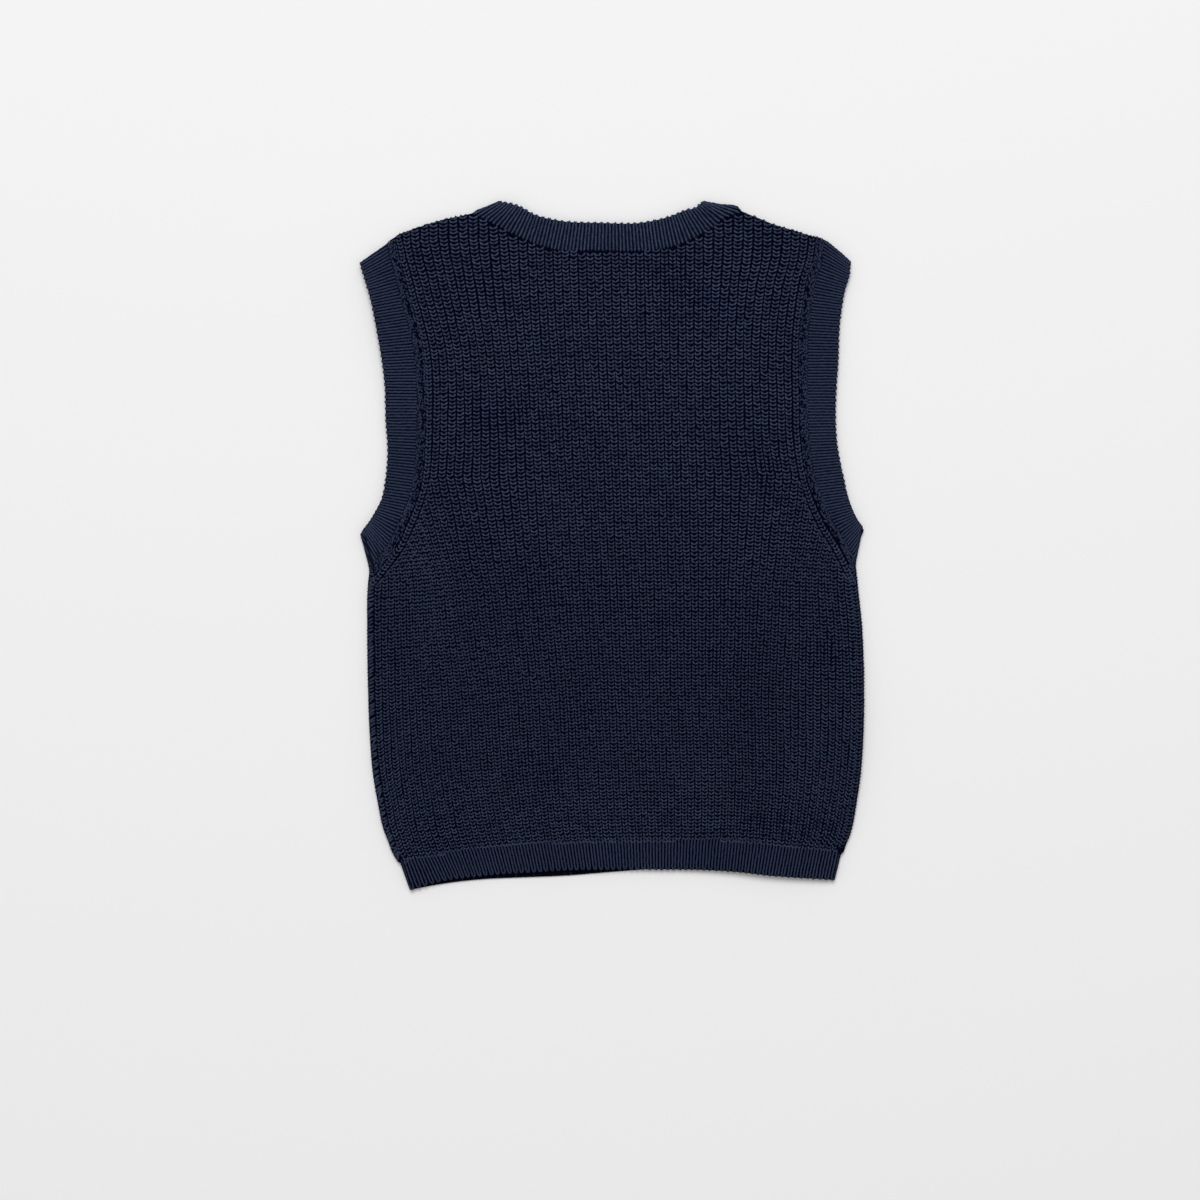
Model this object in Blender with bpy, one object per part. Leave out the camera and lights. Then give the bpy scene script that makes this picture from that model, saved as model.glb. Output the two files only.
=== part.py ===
"""Knitted sweater vest laid flat on its front, back up, neck toward +Y, the wearer's right toward +X.

Two knitted layers lie on each other: the front panel on the surface and the back panel on top of it. They
meet along the side and shoulder folds. A ribbed welt ends each panel. The neckband and the two armhole bands
are strips linked round their openings and pressed flat with the rest, so each is a ring with a half on top,
a half underneath and a turn at either end. Ribs stand up in the outer points of a wall over a plain inside.

Lengths are in millimetres up to add_body, which turns them into metres. The origin is the bottom centre of
the whole garment's box.
"""

import math

import bmesh
import bpy
import numpy as np
from mathutils import Vector
from mathutils.geometry import delaunay_2d_cdt

METRES = 0.001

# The knit as a wall, and the slack round it.
PANEL_WALL = 2.4
PANEL_RELIEF = 1.0
BAND_WALL = 2.2
BAND_RELIEF = 0.8
FRONT_WALL = 3.0
SEAM_GAP = 0.3

# A fold is rounded over FOLD_ROUNDING and keeps FOLD_LEAST of the wall at its very edge. A band's turn
# starts TURN_INSET inside its outline and has a section at each of TURN_ANGLES above and below.
FOLD_ROUNDING = 3.0
FOLD_LEAST = 0.3
TURN_INSET = 3.3
TURN_ANGLES = (30.0, 60.0, 88.0)

# Ribs of each strip. Layers underneath are plain, with a section at every second rib.
NECK_RIBS = 36
ARMHOLE_RIBS = 52
WELT_RIBS = 70
RIBS_PER_PLAIN_STEP = 2

# A strip's section: shares of the way from the seam to the free edge, along the outside and back on the
# inside, the points that a rib raises, and how far each swings out at a turn. Grooves notch the free edge.
SECTION_SHARES = np.array((0.0, 0.10, 0.93, 1.0, 0.93, 0.0))
SECTION_RAISED = np.array((0.0, 1.0, 1.0, 0.0, 0.0, 0.0))
SECTION_SWING = np.array((1.0, 1.0, 1.0, 1.0, 0.06, 0.06))
SECTION_EDGE = 3
SECTION_INSIDE = 4
EDGE_NOTCH = 0.5

# Body ribs: numbered from the middle one, with points every ROW_STEP. They stop short of seams and folds.
# Beside each armhole SHAPING_RIBS of them follow the seam, where the body was narrowed inside its edge.
RIBS_LEFT = 38
RIBS_RIGHT = 34
RIB_BOTTOM = -256.0
RIB_TOP = 274.0
RIB_SAMPLE = 2.0
ROW_STEP = 48.0
SEAM_MARGIN = 1.3
FOLD_MARGIN = 4.2
LEAST_RIB_SAMPLES = 7
SHAPING_RIBS = 2
SHAPING_WIDTH = 12.6
SHAPING_MARGIN = 2.2
SHAPING_SAMPLE = 3

# Spacing of the other points of a panel, and where those stand that round its folds.
OUTLINE_STEP = 9.0
PLAIN_STEP = 24.0
PLAIN_MARGIN = 12.0
FOLD_RINGS = (0.8, 3.0)

# Side folds of the body, bottom to top.
SIDE_ROWS = (
    # height, left, right
    (-244.0, -175.6, 184.6),
    (-236.0, -178.4, 188.8),
    (-226.4, -182.2, 192.0),
    (-207.2, -186.2, 195.4),
    (-183.2, -190.4, 198.8),
    (-154.4, -192.8, 200.8),
    (-111.2, -194.4, 201.6),
    (-63.2, -195.0, 200.0),
    (-36.0, -194.8, 197.2),
)

# Lower corners of the body, where the side folds end just outside the welt.
BODY_CORNER_LEFT = (-171.0, -252.4)
BODY_CORNER_RIGHT = (185.6, -244.6)

# Ribs of the welts, left to right: upper end at the stitch change, lower ends of the back and front welt.
WELT_GUIDES = (
    # top_x, top_y, low_x, low_y, front_low_y
    (-168.6, -253.8, -161.4, -276.4, -276.2),
    (-148.0, -249.8, -139.0, -269.6, -272.0),
    (-112.8, -244.4, -106.0, -264.8, -267.9),
    (-76.0, -240.4, -71.0, -262.0, -266.2),
    (-40.8, -238.6, -37.0, -260.0, -264.8),
    (-8.8, -237.6, -6.5, -259.4, -262.4),
    (38.4, -236.9, 38.4, -259.7, -259.2),
    (72.0, -236.9, 70.5, -260.0, -258.2),
    (105.6, -237.4, 102.5, -261.9, -259.4),
    (127.2, -240.6, 123.0, -264.2, -261.2),
    (183.4, -246.4, 178.6, -268.2, -265.4),
)
BACK_WELT_LOW = 3
FRONT_WELT_LOW = 4

# Shoulder folds: points between the armhole and the neck, left to right.
LEFT_SHOULDER = (
    # x, y
    (-171.0, 248.6),
    (-158.0, 253.8),
    (-140.0, 259.6),
    (-122.0, 263.8),
)
RIGHT_SHOULDER = (
    # x, y
    (114.0, 263.8),
    (130.0, 257.2),
    (146.0, 252.4),
    (160.0, 248.0),
)

# Guide ribs of the bands. The first and last rows of each table are the straight lines of its turns.
NECK_BACK = (
    # edge_x, edge_y, seam_x, seam_y
    (-90.4, 275.6, -111.2, 265.4),
    (-72.6, 271.2, -85.6, 252.6),
    (-61.0, 264.8, -68.6, 244.2),
    (-40.8, 260.0, -45.6, 236.8),
    (-8.8, 258.4, -9.6, 235.6),
    (23.2, 258.4, 25.6, 235.6),
    (45.6, 263.2, 51.2, 239.6),
    (60.8, 269.0, 73.6, 249.8),
    (66.4, 270.2, 80.4, 253.4),
    (69.8, 273.0, 86.0, 259.0),
    (73.6, 275.6, 104.0, 267.0),
)
NECK_FRONT = (
    # edge_x, edge_y, seam_x, seam_y
    (-90.4, 275.6, -111.2, 265.4),
    (-83.0, 250.0, -104.0, 240.0),
    (-72.0, 233.0, -90.0, 217.0),
    (-53.0, 220.0, -65.0, 200.0),
    (-30.0, 215.5, -35.0, 193.5),
    (-4.0, 214.0, -4.0, 192.0),
    (22.0, 215.5, 27.0, 193.5),
    (45.0, 220.0, 57.0, 200.0),
    (64.0, 233.0, 82.0, 217.0),
    (72.0, 250.0, 96.0, 240.0),
    (73.6, 275.6, 104.0, 267.0),
)
ARMHOLE_LEFT = (
    # edge_x, edge_y, seam_x, seam_y
    (-201.6, 226.4, -177.6, 243.4),
    (-198.4, 215.2, -174.2, 227.4),
    (-195.4, 205.6, -170.4, 213.6),
    (-192.0, 192.8, -166.4, 198.4),
    (-188.0, 172.0, -160.2, 176.0),
    (-184.6, 152.8, -155.4, 155.2),
    (-181.6, 128.8, -153.4, 128.8),
    (-180.8, 100.0, -153.6, 100.0),
    (-179.2, 76.0, -154.2, 74.4),
    (-180.4, 56.8, -156.2, 53.6),
    (-184.0, 37.6, -161.6, 33.6),
    (-189.4, 27.0, -168.0, 18.6),
    (-194.0, 19.4, -175.2, 2.8),
    (-198.4, 13.6, -183.6, -8.6),
    (-201.6, 8.0, -193.6, -21.6),
)
ARMHOLE_RIGHT = (
    # edge_x, edge_y, seam_x, seam_y
    (191.2, 226.4, 168.0, 245.6),
    (190.4, 215.2, 166.0, 227.0),
    (187.4, 205.6, 161.4, 212.8),
    (184.8, 192.8, 158.4, 196.6),
    (182.4, 172.0, 155.4, 173.4),
    (181.6, 148.8, 154.4, 148.8),
    (179.4, 113.6, 155.0, 113.6),
    (180.2, 84.0, 156.0, 83.2),
    (184.4, 60.0, 160.0, 57.2),
    (189.8, 37.6, 167.8, 34.0),
    (194.4, 25.6, 175.2, 18.4),
    (198.0, 19.2, 183.0, 6.4),
    (200.6, 15.4, 189.4, -4.6),
    (201.4, 13.0, 195.2, -16.8),
)

# Each band: guide ribs of both halves, number of ribs, and how far each turn's outline swells past a
# straight line, with the place of the swell's peak as a share of the way from the seam to the free edge.
BANDS = (
    # name, back, front, ribs, first_swell, first_peak, last_swell, last_peak
    ("neckband", NECK_BACK, NECK_FRONT, NECK_RIBS, 1.1, 0.18, 3.5, 0.19),
    ("armhole_band_left", ARMHOLE_LEFT, ARMHOLE_LEFT, ARMHOLE_RIBS, -0.3, 0.5, -0.8, 0.5),
    ("armhole_band_right", ARMHOLE_RIGHT, ARMHOLE_RIGHT, ARMHOLE_RIBS, 1.3, 0.45, -0.3, 0.5),
)

# Rib pitch across the body and the place of the middle rib, by height.
RIB_ROWS = (
    # height, pitch, middle
    (-260.0, 4.96, 20.0),
    (-232.0, 5.20, 16.8),
    (-196.0, 5.42, 14.8),
    (-116.0, 5.58, 11.0),
    (-52.0, 5.86, 8.0),
    (28.0, 6.06, 4.6),
    (108.0, 6.22, 1.0),
    (188.0, 6.50, -2.6),
    (276.0, 6.66, -5.0),
)

# Soft folds that lift the back layer off the front one: long low swells that lean to the right as they rise.
FOLDS = (
    # x, y, half_length, half_width, lean_degrees, height
    (68.0, -168.0, 116.0, 34.0, -4.0, 2.8),
    (153.0, -148.0, 120.0, 32.0, -2.0, 3.0),
    (-12.0, -201.0, 100.0, 38.0, 2.0, 2.4),
    (-55.0, -233.0, 72.0, 34.0, -8.0, 1.8),
    (-148.0, -135.0, 106.0, 30.0, -2.0, 2.2),
    (-104.0, 153.0, 64.0, 40.0, -19.0, 2.0),
    (-10.0, 187.0, 80.0, 42.0, -6.0, 1.6),
    (51.0, 148.0, 84.0, 46.0, -10.0, 2.0),
    (126.0, 152.0, 100.0, 38.0, -6.0, 1.6),
    (-40.0, 25.0, 100.0, 60.0, -30.0, 1.4),
    (105.0, 10.0, 84.0, 50.0, -27.0, 1.4),
)

# Stretches where both layers stand off the surface: place, reach, height.
LIFTS = (
    # x, y, reach, height
    (-214.0, 176.0, 84.0, 4.0),
    (216.0, -150.0, 92.0, 3.6),
    (126.0, -286.0, 72.0, 3.0),
)

# The folds die away over SIDE_FADE toward the sides of the garment.
HALF_WIDTH = 202.0
SIDE_FADE = 30.0

NAVY = (0.0103, 0.0144, 0.0319, 1.0)
BODY_ROUGHNESS = 0.95
RIB_ROUGHNESS = 0.92
SMOOTH_ANGLE = 40.0


def clear_scene():
    for item in list(bpy.data.objects):
        bpy.data.objects.remove(item, do_unlink=True)


def cotton(name, roughness):
    """Dyed cotton yarn, matt."""
    material = bpy.data.materials.new(name)
    material.use_nodes = True
    shader = material.node_tree.nodes["Principled BSDF"]
    shader.inputs["Base Color"].default_value = NAVY
    shader.inputs["Roughness"].default_value = roughness
    shader.inputs["Metallic"].default_value = 0.0
    return material


def add_body(name, points, faces, roughness):
    """One closed body from points in mm and faces that may be wound either way."""
    form = bmesh.new()
    corners = [form.verts.new(point * METRES) for point in points]
    for face in faces:
        form.faces.new([corners[i] for i in face])
    bmesh.ops.recalc_face_normals(form, faces=form.faces)
    mesh = bpy.data.meshes.new(name)
    form.to_mesh(mesh)
    form.free()
    mesh.shade_smooth()
    mesh.set_sharp_from_angle(angle=math.radians(SMOOTH_ANGLE))
    mesh.materials.append(cotton(name + "_cotton", roughness))
    bpy.context.scene.collection.objects.link(bpy.data.objects.new(name, mesh))


# Curves in plan.


def spline(knots, values, wanted):
    """Rows of values between the rows given at the knots, on a smooth curve."""
    gaps = np.diff(knots)[:, None]
    rise = np.diff(values, axis=0) / gaps
    share = gaps[1:] / (gaps[1:] + gaps[:-1])
    slope = np.vstack((rise[:1], rise[:-1] * share + rise[1:] * (1.0 - share), rise[-1:]))
    place = np.clip(np.searchsorted(knots, wanted, side="right") - 1, 0, len(knots) - 2)
    span = gaps[place]
    t = (wanted - knots[place])[:, None] / span
    start, end = values[place], values[place + 1]
    return (
        start * (1.0 + 2.0 * t) * (1.0 - t) ** 2
        + end * (3.0 - 2.0 * t) * t**2
        + slope[place] * span * t * (1.0 - t) ** 2
        - slope[place + 1] * span * (1.0 - t) * t**2
    )


def lengths_along(points):
    return np.concatenate(([0.0], np.cumsum(np.linalg.norm(np.diff(points, axis=0), axis=1))))


def smooth_line(points, step):
    """Points about step apart on a smooth curve through the given ones, both ends kept."""
    along = lengths_along(points)
    return spline(along, points, np.linspace(0.0, along[-1], round(along[-1] / step) + 1))


def left_normals(line):
    tangent = np.gradient(line, axis=0)
    normal = np.column_stack((-tangent[:, 1], tangent[:, 0]))
    return normal / np.linalg.norm(normal, axis=1)[:, None]


def distance_to(line, points):
    """Distance of each point from a chain of straight pieces."""
    best = np.full(len(points), np.inf)
    for start, end in zip(line[:-1], line[1:]):
        along = end - start
        t = np.clip(((points - start) @ along) / (along @ along), 0.0, 1.0)
        best = np.minimum(best, np.linalg.norm(points - start - t[:, None] * along, axis=1))
    return best


def clear_of(lines, points, margin):
    """True for each point at least margin away from every line."""
    return np.all([distance_to(line, points) > margin for line in lines], axis=0)


def inside(outline, points):
    """True for each point within the closed outline."""
    x, y = points.T
    found = np.zeros(len(points), dtype=bool)
    for (x0, y0), (x1, y1) in zip(outline, np.roll(outline, -1, axis=0)):
        if y0 != y1:
            found ^= ((y0 > y) != (y1 > y)) & (x < x0 + (y - y0) * (x1 - x0) / (y1 - y0))
    return found


# Heights above the surface that the garment lies on.


def bump(share):
    """1 where share is 0, falling smoothly to 0 where it reaches 1."""
    return np.clip(1.0 - share**2, 0.0, None) ** 2


def floor_lift(plan):
    """Height of the front layer's underside, which is 0 wherever the garment rests."""
    height = np.zeros(len(plan))
    for x, y, reach, rise in LIFTS:
        height += rise * bump(np.hypot(plan[:, 0] - x, plan[:, 1] - y) / reach)
    return height


def fold_lift(plan):
    """Height that the soft folds add between the layers."""
    height = np.zeros(len(plan))
    for x, y, half_length, half_width, lean, rise in FOLDS:
        turn = math.radians(lean)
        right, up = plan[:, 0] - x, plan[:, 1] - y
        along = (right * math.sin(turn) + up * math.cos(turn)) / half_length
        across = (right * math.cos(turn) - up * math.sin(turn)) / half_width
        height += rise * bump(np.hypot(along, across))
    return height * np.clip((HALF_WIDTH - np.abs(plan[:, 0])) / SIDE_FADE, 0.0, 1.0)


def wall_share(plan, folds):
    """Share of the full wall: FOLD_LEAST on a fold, 1 from FOLD_ROUNDING inward."""
    share = np.ones(len(plan))
    for line in folds:
        near = np.clip(distance_to(line, plan) / FOLD_ROUNDING, 0.0, 1.0)
        share = np.minimum(share, FOLD_LEAST + (1.0 - FOLD_LEAST) * np.sqrt(near * (2.0 - near)))
    return share


def back_inside(plan):
    return floor_lift(plan) + FRONT_WALL + SEAM_GAP + fold_lift(plan)


def back_outside(plan, wall, folds):
    return back_inside(plan) + wall * wall_share(plan, folds)


def front_inside(plan):
    return floor_lift(plan) + FRONT_WALL


def front_outside(plan, folds):
    return front_inside(plan) - FRONT_WALL * wall_share(plan, folds)


# Strips of rib: the bands and the welts.


def rib_lines(tops, lows, along, ribs):
    """Both ends of each groove and rib in turn. A rib's seam end is midway between those of its grooves."""
    wanted = np.linspace(0.0, along[-1], 2 * ribs + 1)
    seam = spline(along, tops, wanted)
    seam[1::2] = (seam[:-1:2] + seam[2::2]) / 2.0
    return seam, spline(along, lows, wanted)


def band_lines(guides, ribs):
    """Seam and free edge of half a band."""
    guides = np.array(guides)
    edge, seam = guides[:, 0:2], guides[:, 2:4]
    return rib_lines(seam, edge, lengths_along((edge + seam) / 2.0), ribs)


def welt_lines(low_column):
    """Seam and free edge of a welt."""
    guides = np.array(WELT_GUIDES)
    seam, edge = guides[:, 0:2], guides[:, (2, low_column)]
    return rib_lines(seam, edge, lengths_along(seam), WELT_RIBS)


def moved_off(seam, edge):
    """The seam line moved toward the free edge by SEAM_GAP."""
    normal = left_normals(seam)
    return seam + normal * np.sign(np.sum(normal * (edge - seam), axis=1))[:, None] * SEAM_GAP


def section_plan(seam, edge, notch):
    """A section's points in plan. The free edge is drawn in by notch."""
    plan = seam + (edge - seam) * SECTION_SHARES[:, None]
    plan[SECTION_EDGE] -= (edge - seam) / np.linalg.norm(edge - seam) * notch
    return plan


def section(plan, outer, inner):
    """Outside points at the heights outer, the edge half way through the wall, inside points at inner."""
    height = np.where(np.arange(len(plan)) < SECTION_INSIDE, outer, inner)
    height[SECTION_EDGE] = (outer[SECTION_EDGE] + inner[SECTION_EDGE]) / 2.0
    return np.column_stack((plan, height))


def upper_sections(seam, edge, folds):
    """Sections of a strip that lies on top: grooves at even places, ribs at odd ones."""
    seam = moved_off(seam, edge)
    found = []
    for i in range(len(seam)):
        rib = i % 2
        plan = section_plan(seam[i], edge[i], EDGE_NOTCH * (1 - rib))
        wall = BAND_WALL + BAND_RELIEF * rib * SECTION_RAISED
        found.append(section(plan, back_outside(plan, wall, folds), back_inside(plan)))
    return found


def lower_sections(seam, edge, folds):
    """Sections of a strip that lies underneath, plain, one at every second rib."""
    step = 2 * RIBS_PER_PLAIN_STEP
    seam, edge = seam[::step], edge[::step]
    found = []
    for start, end in zip(moved_off(seam, edge), edge):
        plan = section_plan(start, end, EDGE_NOTCH / 2.0)
        found.append(section(plan, front_outside(plan, folds), front_inside(plan)))
    return found


def bridged(sections, closed):
    """Points and faces of a tube through the sections: a ring, or a rod with flat ends."""
    count = len(sections[0])
    rows = np.arange(len(sections) * count).reshape(-1, count)
    pairs = zip(rows, np.roll(rows, -1, axis=0)) if closed else zip(rows[:-1], rows[1:])
    faces = []
    for here, there in pairs:
        for k in range(count):
            n = (k + 1) % count
            faces.append((here[k], here[n], there[n]))
            faces.append((here[k], there[n], there[k]))
    if not closed:
        faces += [tuple(rows[0][::-1]), tuple(rows[-1])]
    return np.concatenate(sections), faces


def turn_outline(seam, edge, outward, swell, peak):
    """Plan of the section on a turn's outline, which swells past the straight line, most at peak."""
    plan = section_plan(seam, edge, 0.0)
    normal = np.array((seam[1] - edge[1], edge[0] - seam[0])) / np.linalg.norm(edge - seam)
    share = SECTION_SHARES / peak
    return plan + (swell * share * np.exp(1.0 - share))[:, None] * normal * np.sign(normal @ outward)


def half_turn(flat, outline):
    """Sections from a flat one to the middle of the turn. The outer points swing out to the outline."""
    middle = FRONT_WALL + SEAM_GAP / 2.0
    found = []
    for angle in np.radians(TURN_ANGLES):
        plan = flat[:, 0:2] + (outline - flat[:, 0:2]) * SECTION_SWING[:, None] * math.sin(angle)
        level = floor_lift(plan) + middle
        found.append(np.column_stack((plan, level + (flat[:, 2] - level) * math.cos(angle))))
    return found


def first_inside(sections, outline):
    """Number of the first section whose middle is TURN_INSET inside the outline's middle."""
    middle = outline.mean(axis=0)
    away = [np.linalg.norm(one[:, 0:2].mean(axis=0) - middle) for one in sections]
    return int(np.argmax(np.array(away) >= TURN_INSET))


def trimmed(sections, first_outline, last_outline):
    start = first_inside(sections, first_outline)
    stop = len(sections) - first_inside(sections[::-1], last_outline)
    return sections[start:stop]


def add_band(name, back_guides, front_guides, ribs, first_swell, first_peak, last_swell, last_peak):
    """A rib strip linked round an opening and pressed flat: a ring with a turn at either end."""
    seam, edge = band_lines(back_guides, ribs)
    near = moved_off(seam, edge)
    first = turn_outline(near[0], edge[0], edge[0] - edge[2], first_swell, first_peak)
    last = turn_outline(near[-1], edge[-1], edge[-1] - edge[-3], last_swell, last_peak)
    above = trimmed(upper_sections(seam, edge, ()), first, last)
    below = trimmed(lower_sections(*band_lines(front_guides, ribs), ()), first, last)[::-1]
    last_turn = half_turn(above[-1], last) + half_turn(below[0], last)[::-1]
    first_turn = half_turn(below[-1], first) + half_turn(above[0], first)[::-1]
    points, faces = bridged(above + last_turn + below + first_turn, True)
    add_body(name, points, faces, RIB_ROUGHNESS)


def end_folds(seam, edge):
    """The two lines where a welt runs into the side folds."""
    return (np.array((seam[0], edge[0])), np.array((seam[-1], edge[-1])))


def add_back_welt():
    seam, edge = welt_lines(BACK_WELT_LOW)
    points, faces = bridged(upper_sections(seam, edge, end_folds(seam, edge)), False)
    add_body("hem_rib_back", points, faces, RIB_ROUGHNESS)


def add_front_welt():
    seam, edge = welt_lines(FRONT_WELT_LOW)
    points, faces = bridged(lower_sections(seam, edge, end_folds(seam, edge)), False)
    add_body("hem_rib_front", points, faces, RIB_ROUGHNESS)


# Panels.


def panel_outline(neck_guides, step):
    """The outline's stretches, counter-clockwise from the lower left: those cut at a seam and those folded.

    A seam has a point at every step-th groove or rib of its strip. Returns the whole outline, its cut
    stretches (hem, right armhole, neck, left armhole) and its folded ones.
    """
    hem = np.vstack((BODY_CORNER_LEFT, welt_lines(BACK_WELT_LOW)[0][::step], BODY_CORNER_RIGHT))
    right_arm = band_lines(ARMHOLE_RIGHT, ARMHOLE_RIBS)[0][::-step]
    neck = band_lines(neck_guides, NECK_RIBS)[0][::-step]
    left_arm = band_lines(ARMHOLE_LEFT, ARMHOLE_RIBS)[0][::step]
    rows = np.array(SIDE_ROWS)
    folds = [
        np.vstack((hem[-1], rows[:, (2, 0)], right_arm[0])),
        np.vstack((right_arm[-1], RIGHT_SHOULDER[::-1], neck[0])),
        np.vstack((neck[-1], LEFT_SHOULDER[::-1], left_arm[0])),
        np.vstack((left_arm[-1], rows[::-1, (1, 0)], hem[0])),
    ]
    folds = [smooth_line(fold, OUTLINE_STEP) for fold in folds]
    cuts = [hem, right_arm, neck, left_arm]
    outline = np.vstack([line[:-1] for pair in zip(cuts, folds) for line in pair])
    return outline, cuts, folds


def drawn_in(line, depth):
    """A stretch of the outline moved inward by depth, without its ends."""
    return (line + left_normals(line) * depth)[1:-1]


def body_rib(number):
    """Points along a rib or, at a half number, along the groove between two ribs."""
    rows = np.array(RIB_ROWS)
    heights = np.arange(RIB_BOTTOM, RIB_TOP, RIB_SAMPLE)
    pitch, middle = spline(rows[:, 0], rows[:, 1:3], heights).T
    return np.column_stack((middle + number * pitch, heights))


def unbroken(line, good, least):
    """The stretches of a line where good holds, each of at least that many points."""
    ends = np.flatnonzero(np.diff(np.concatenate(([0], good, [0]))))
    return [line[i:j] for i, j in zip(ends[::2], ends[1::2]) if j - i >= least]


def at_rows(line):
    """Both ends of a line and its points nearest to the rows in between."""
    rows = np.arange(RIB_BOTTOM, RIB_TOP, ROW_STEP)
    rows = rows[(rows > line[0, 1] + ROW_STEP / 3.0) & (rows < line[-1, 1] - ROW_STEP / 3.0)]
    middle = [int(np.argmin(np.abs(line[:, 1] - row))) for row in rows]
    return line[[0] + middle + [-1]]


def body_ribs(outline, cuts, folds):
    """Lines of the back's ribs and grooves, each with its relief: 1 on a rib, 0 in a groove."""
    armholes = (cuts[1], cuts[3])
    lines = []
    for half_number in range(-2 * RIBS_LEFT, 2 * RIBS_RIGHT + 1):
        line = body_rib(half_number / 2.0)
        good = inside(outline, line) & clear_of(cuts, line, SEAM_MARGIN)
        good &= clear_of(folds, line, FOLD_MARGIN)
        good &= clear_of(armholes, line, SHAPING_WIDTH + SHAPING_MARGIN)
        relief = float(half_number % 2 == 0)
        lines += [(at_rows(part), relief) for part in unbroken(line, good, LEAST_RIB_SAMPLES)]
    for armhole in armholes:
        for k in range(1, 2 * SHAPING_RIBS + 1):
            line = drawn_in(armhole[::SHAPING_SAMPLE], SHAPING_WIDTH * k / (2 * SHAPING_RIBS))
            good = inside(outline, line) & clear_of(folds, line, FOLD_MARGIN)
            lines += [(part, float(k % 2)) for part in unbroken(line, good, 2)]
    return lines


def spread(outline):
    """An even grid of points within the outline."""
    low, high = outline.min(axis=0), outline.max(axis=0)
    xs = np.arange(low[0], high[0], PLAIN_STEP)
    ys = np.arange(low[1], high[1], PLAIN_STEP)
    grid = np.array([(x, y) for x in xs for y in ys])
    closed = np.vstack((outline, outline[:1]))
    return grid[inside(outline, grid) & (distance_to(closed, grid) > PLAIN_MARGIN)]


def sheet(outline, lines, loose):
    """Triangles over the outline that keep every given line and point.

    Returns the places, their reliefs, the triangles and the numbers of the outline's points.
    """
    places = list(outline)
    reliefs = [0.0] * len(outline)
    chains = [(i, (i + 1) % len(outline)) for i in range(len(outline))]
    for line, relief in lines:
        first = len(places)
        places += list(line)
        reliefs += [relief] * len(line)
        chains += [(i, i + 1) for i in range(first, len(places) - 1)]
    places += list(loose)
    reliefs += [0.0] * len(loose)
    border = [list(range(len(outline)))]
    found = delaunay_2d_cdt([Vector(place) for place in places], chains, border, 1, METRES)
    plan, triangles, origins = np.array(found[0]), found[2], found[3]
    relief = np.array([max(reliefs[i] for i in origin) if origin else 0.0 for origin in origins])
    number = {i: n for n, origin in enumerate(origins) for i in origin}
    return plan, relief, triangles, [number[i] for i in border[0]]


def add_panel(name, upper, upper_height, lower, lower_height):
    """A closed body from two sheets over the same outline and their heights."""
    offset = len(upper_height)
    points = np.vstack(
        (np.column_stack((upper[0], upper_height)), np.column_stack((lower[0], lower_height)))
    )
    faces = list(upper[2]) + [[offset + i for i in face] for face in lower[2]]
    rims = list(zip(upper[3], np.add(lower[3], offset)))
    for (top, low), (next_top, next_low) in zip(rims, rims[1:] + rims[:1]):
        faces.append((top, next_top, low))
        faces.append((next_top, next_low, low))
    add_body(name, points, faces, BODY_ROUGHNESS)


def rounding_points(folds):
    return np.vstack([drawn_in(fold, depth) for fold in folds for depth in FOLD_RINGS])


def add_back_panel():
    outline, cuts, folds = panel_outline(NECK_BACK, 2)
    upper = sheet(outline, body_ribs(outline, cuts, folds), rounding_points(folds))
    lower = sheet(outline, [], spread(outline))
    wall = PANEL_WALL + PANEL_RELIEF * upper[1]
    add_panel("back_panel", upper, back_outside(upper[0], wall, folds), lower, back_inside(lower[0]))


def add_front_panel():
    outline, _, folds = panel_outline(NECK_FRONT, 2 * RIBS_PER_PLAIN_STEP)
    upper = sheet(outline, [], spread(outline))
    lower = sheet(outline, [], np.vstack((rounding_points(folds), spread(outline))))
    add_panel("front_panel", upper, front_inside(upper[0]), lower, front_outside(lower[0], folds))


clear_scene()
add_back_panel()
add_front_panel()
add_back_welt()
add_front_welt()
for band in BANDS:
    add_band(*band)
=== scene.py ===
import math

import bmesh
import bpy
import numpy as np
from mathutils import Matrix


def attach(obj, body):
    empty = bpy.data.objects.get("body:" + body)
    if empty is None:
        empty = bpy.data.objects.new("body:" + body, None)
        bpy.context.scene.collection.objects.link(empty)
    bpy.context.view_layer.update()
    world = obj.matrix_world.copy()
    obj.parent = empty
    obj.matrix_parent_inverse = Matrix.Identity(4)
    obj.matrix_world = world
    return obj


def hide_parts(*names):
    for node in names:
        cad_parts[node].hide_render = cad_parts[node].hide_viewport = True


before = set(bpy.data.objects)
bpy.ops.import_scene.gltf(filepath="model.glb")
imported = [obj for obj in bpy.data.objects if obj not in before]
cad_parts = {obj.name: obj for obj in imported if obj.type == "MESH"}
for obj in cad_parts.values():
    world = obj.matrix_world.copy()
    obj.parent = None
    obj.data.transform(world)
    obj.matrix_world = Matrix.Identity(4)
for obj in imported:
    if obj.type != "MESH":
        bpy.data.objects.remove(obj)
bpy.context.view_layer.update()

# Front panel. The front of the vest, knitted in one piece with its hem rib in a chunky navy cotton. It lies
# face down on the surface, under the back. Only its side and shoulder folds show, past the back's edge.
# Lengths are in millimetres until a mesh is made. +Y is toward the neck, +X toward the wearer's right.

METRES = 0.001
WELD = 0.001
# How deep the ground of the knit, its close loops, lies under the cloth's face. This near a seam it isn't
# moved sideways. This near a fold or free edge it is pulled in, or out where the pull is below 0.
GROUND_DEPTH = 0.9
GROUND_SEAM = 1.6
GROUND_EDGE_REACH = 4.5
# At the right side fold, right shoulder, left shoulder and left side fold, then at a free edge.
GROUND_FOLDS = (-0.6, 0.2, 0.2, -0.8)
GROUND_FREE = -0.25
# A face is turned up or down where its normal's upward share is past this.
FACING = 0.5
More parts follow.
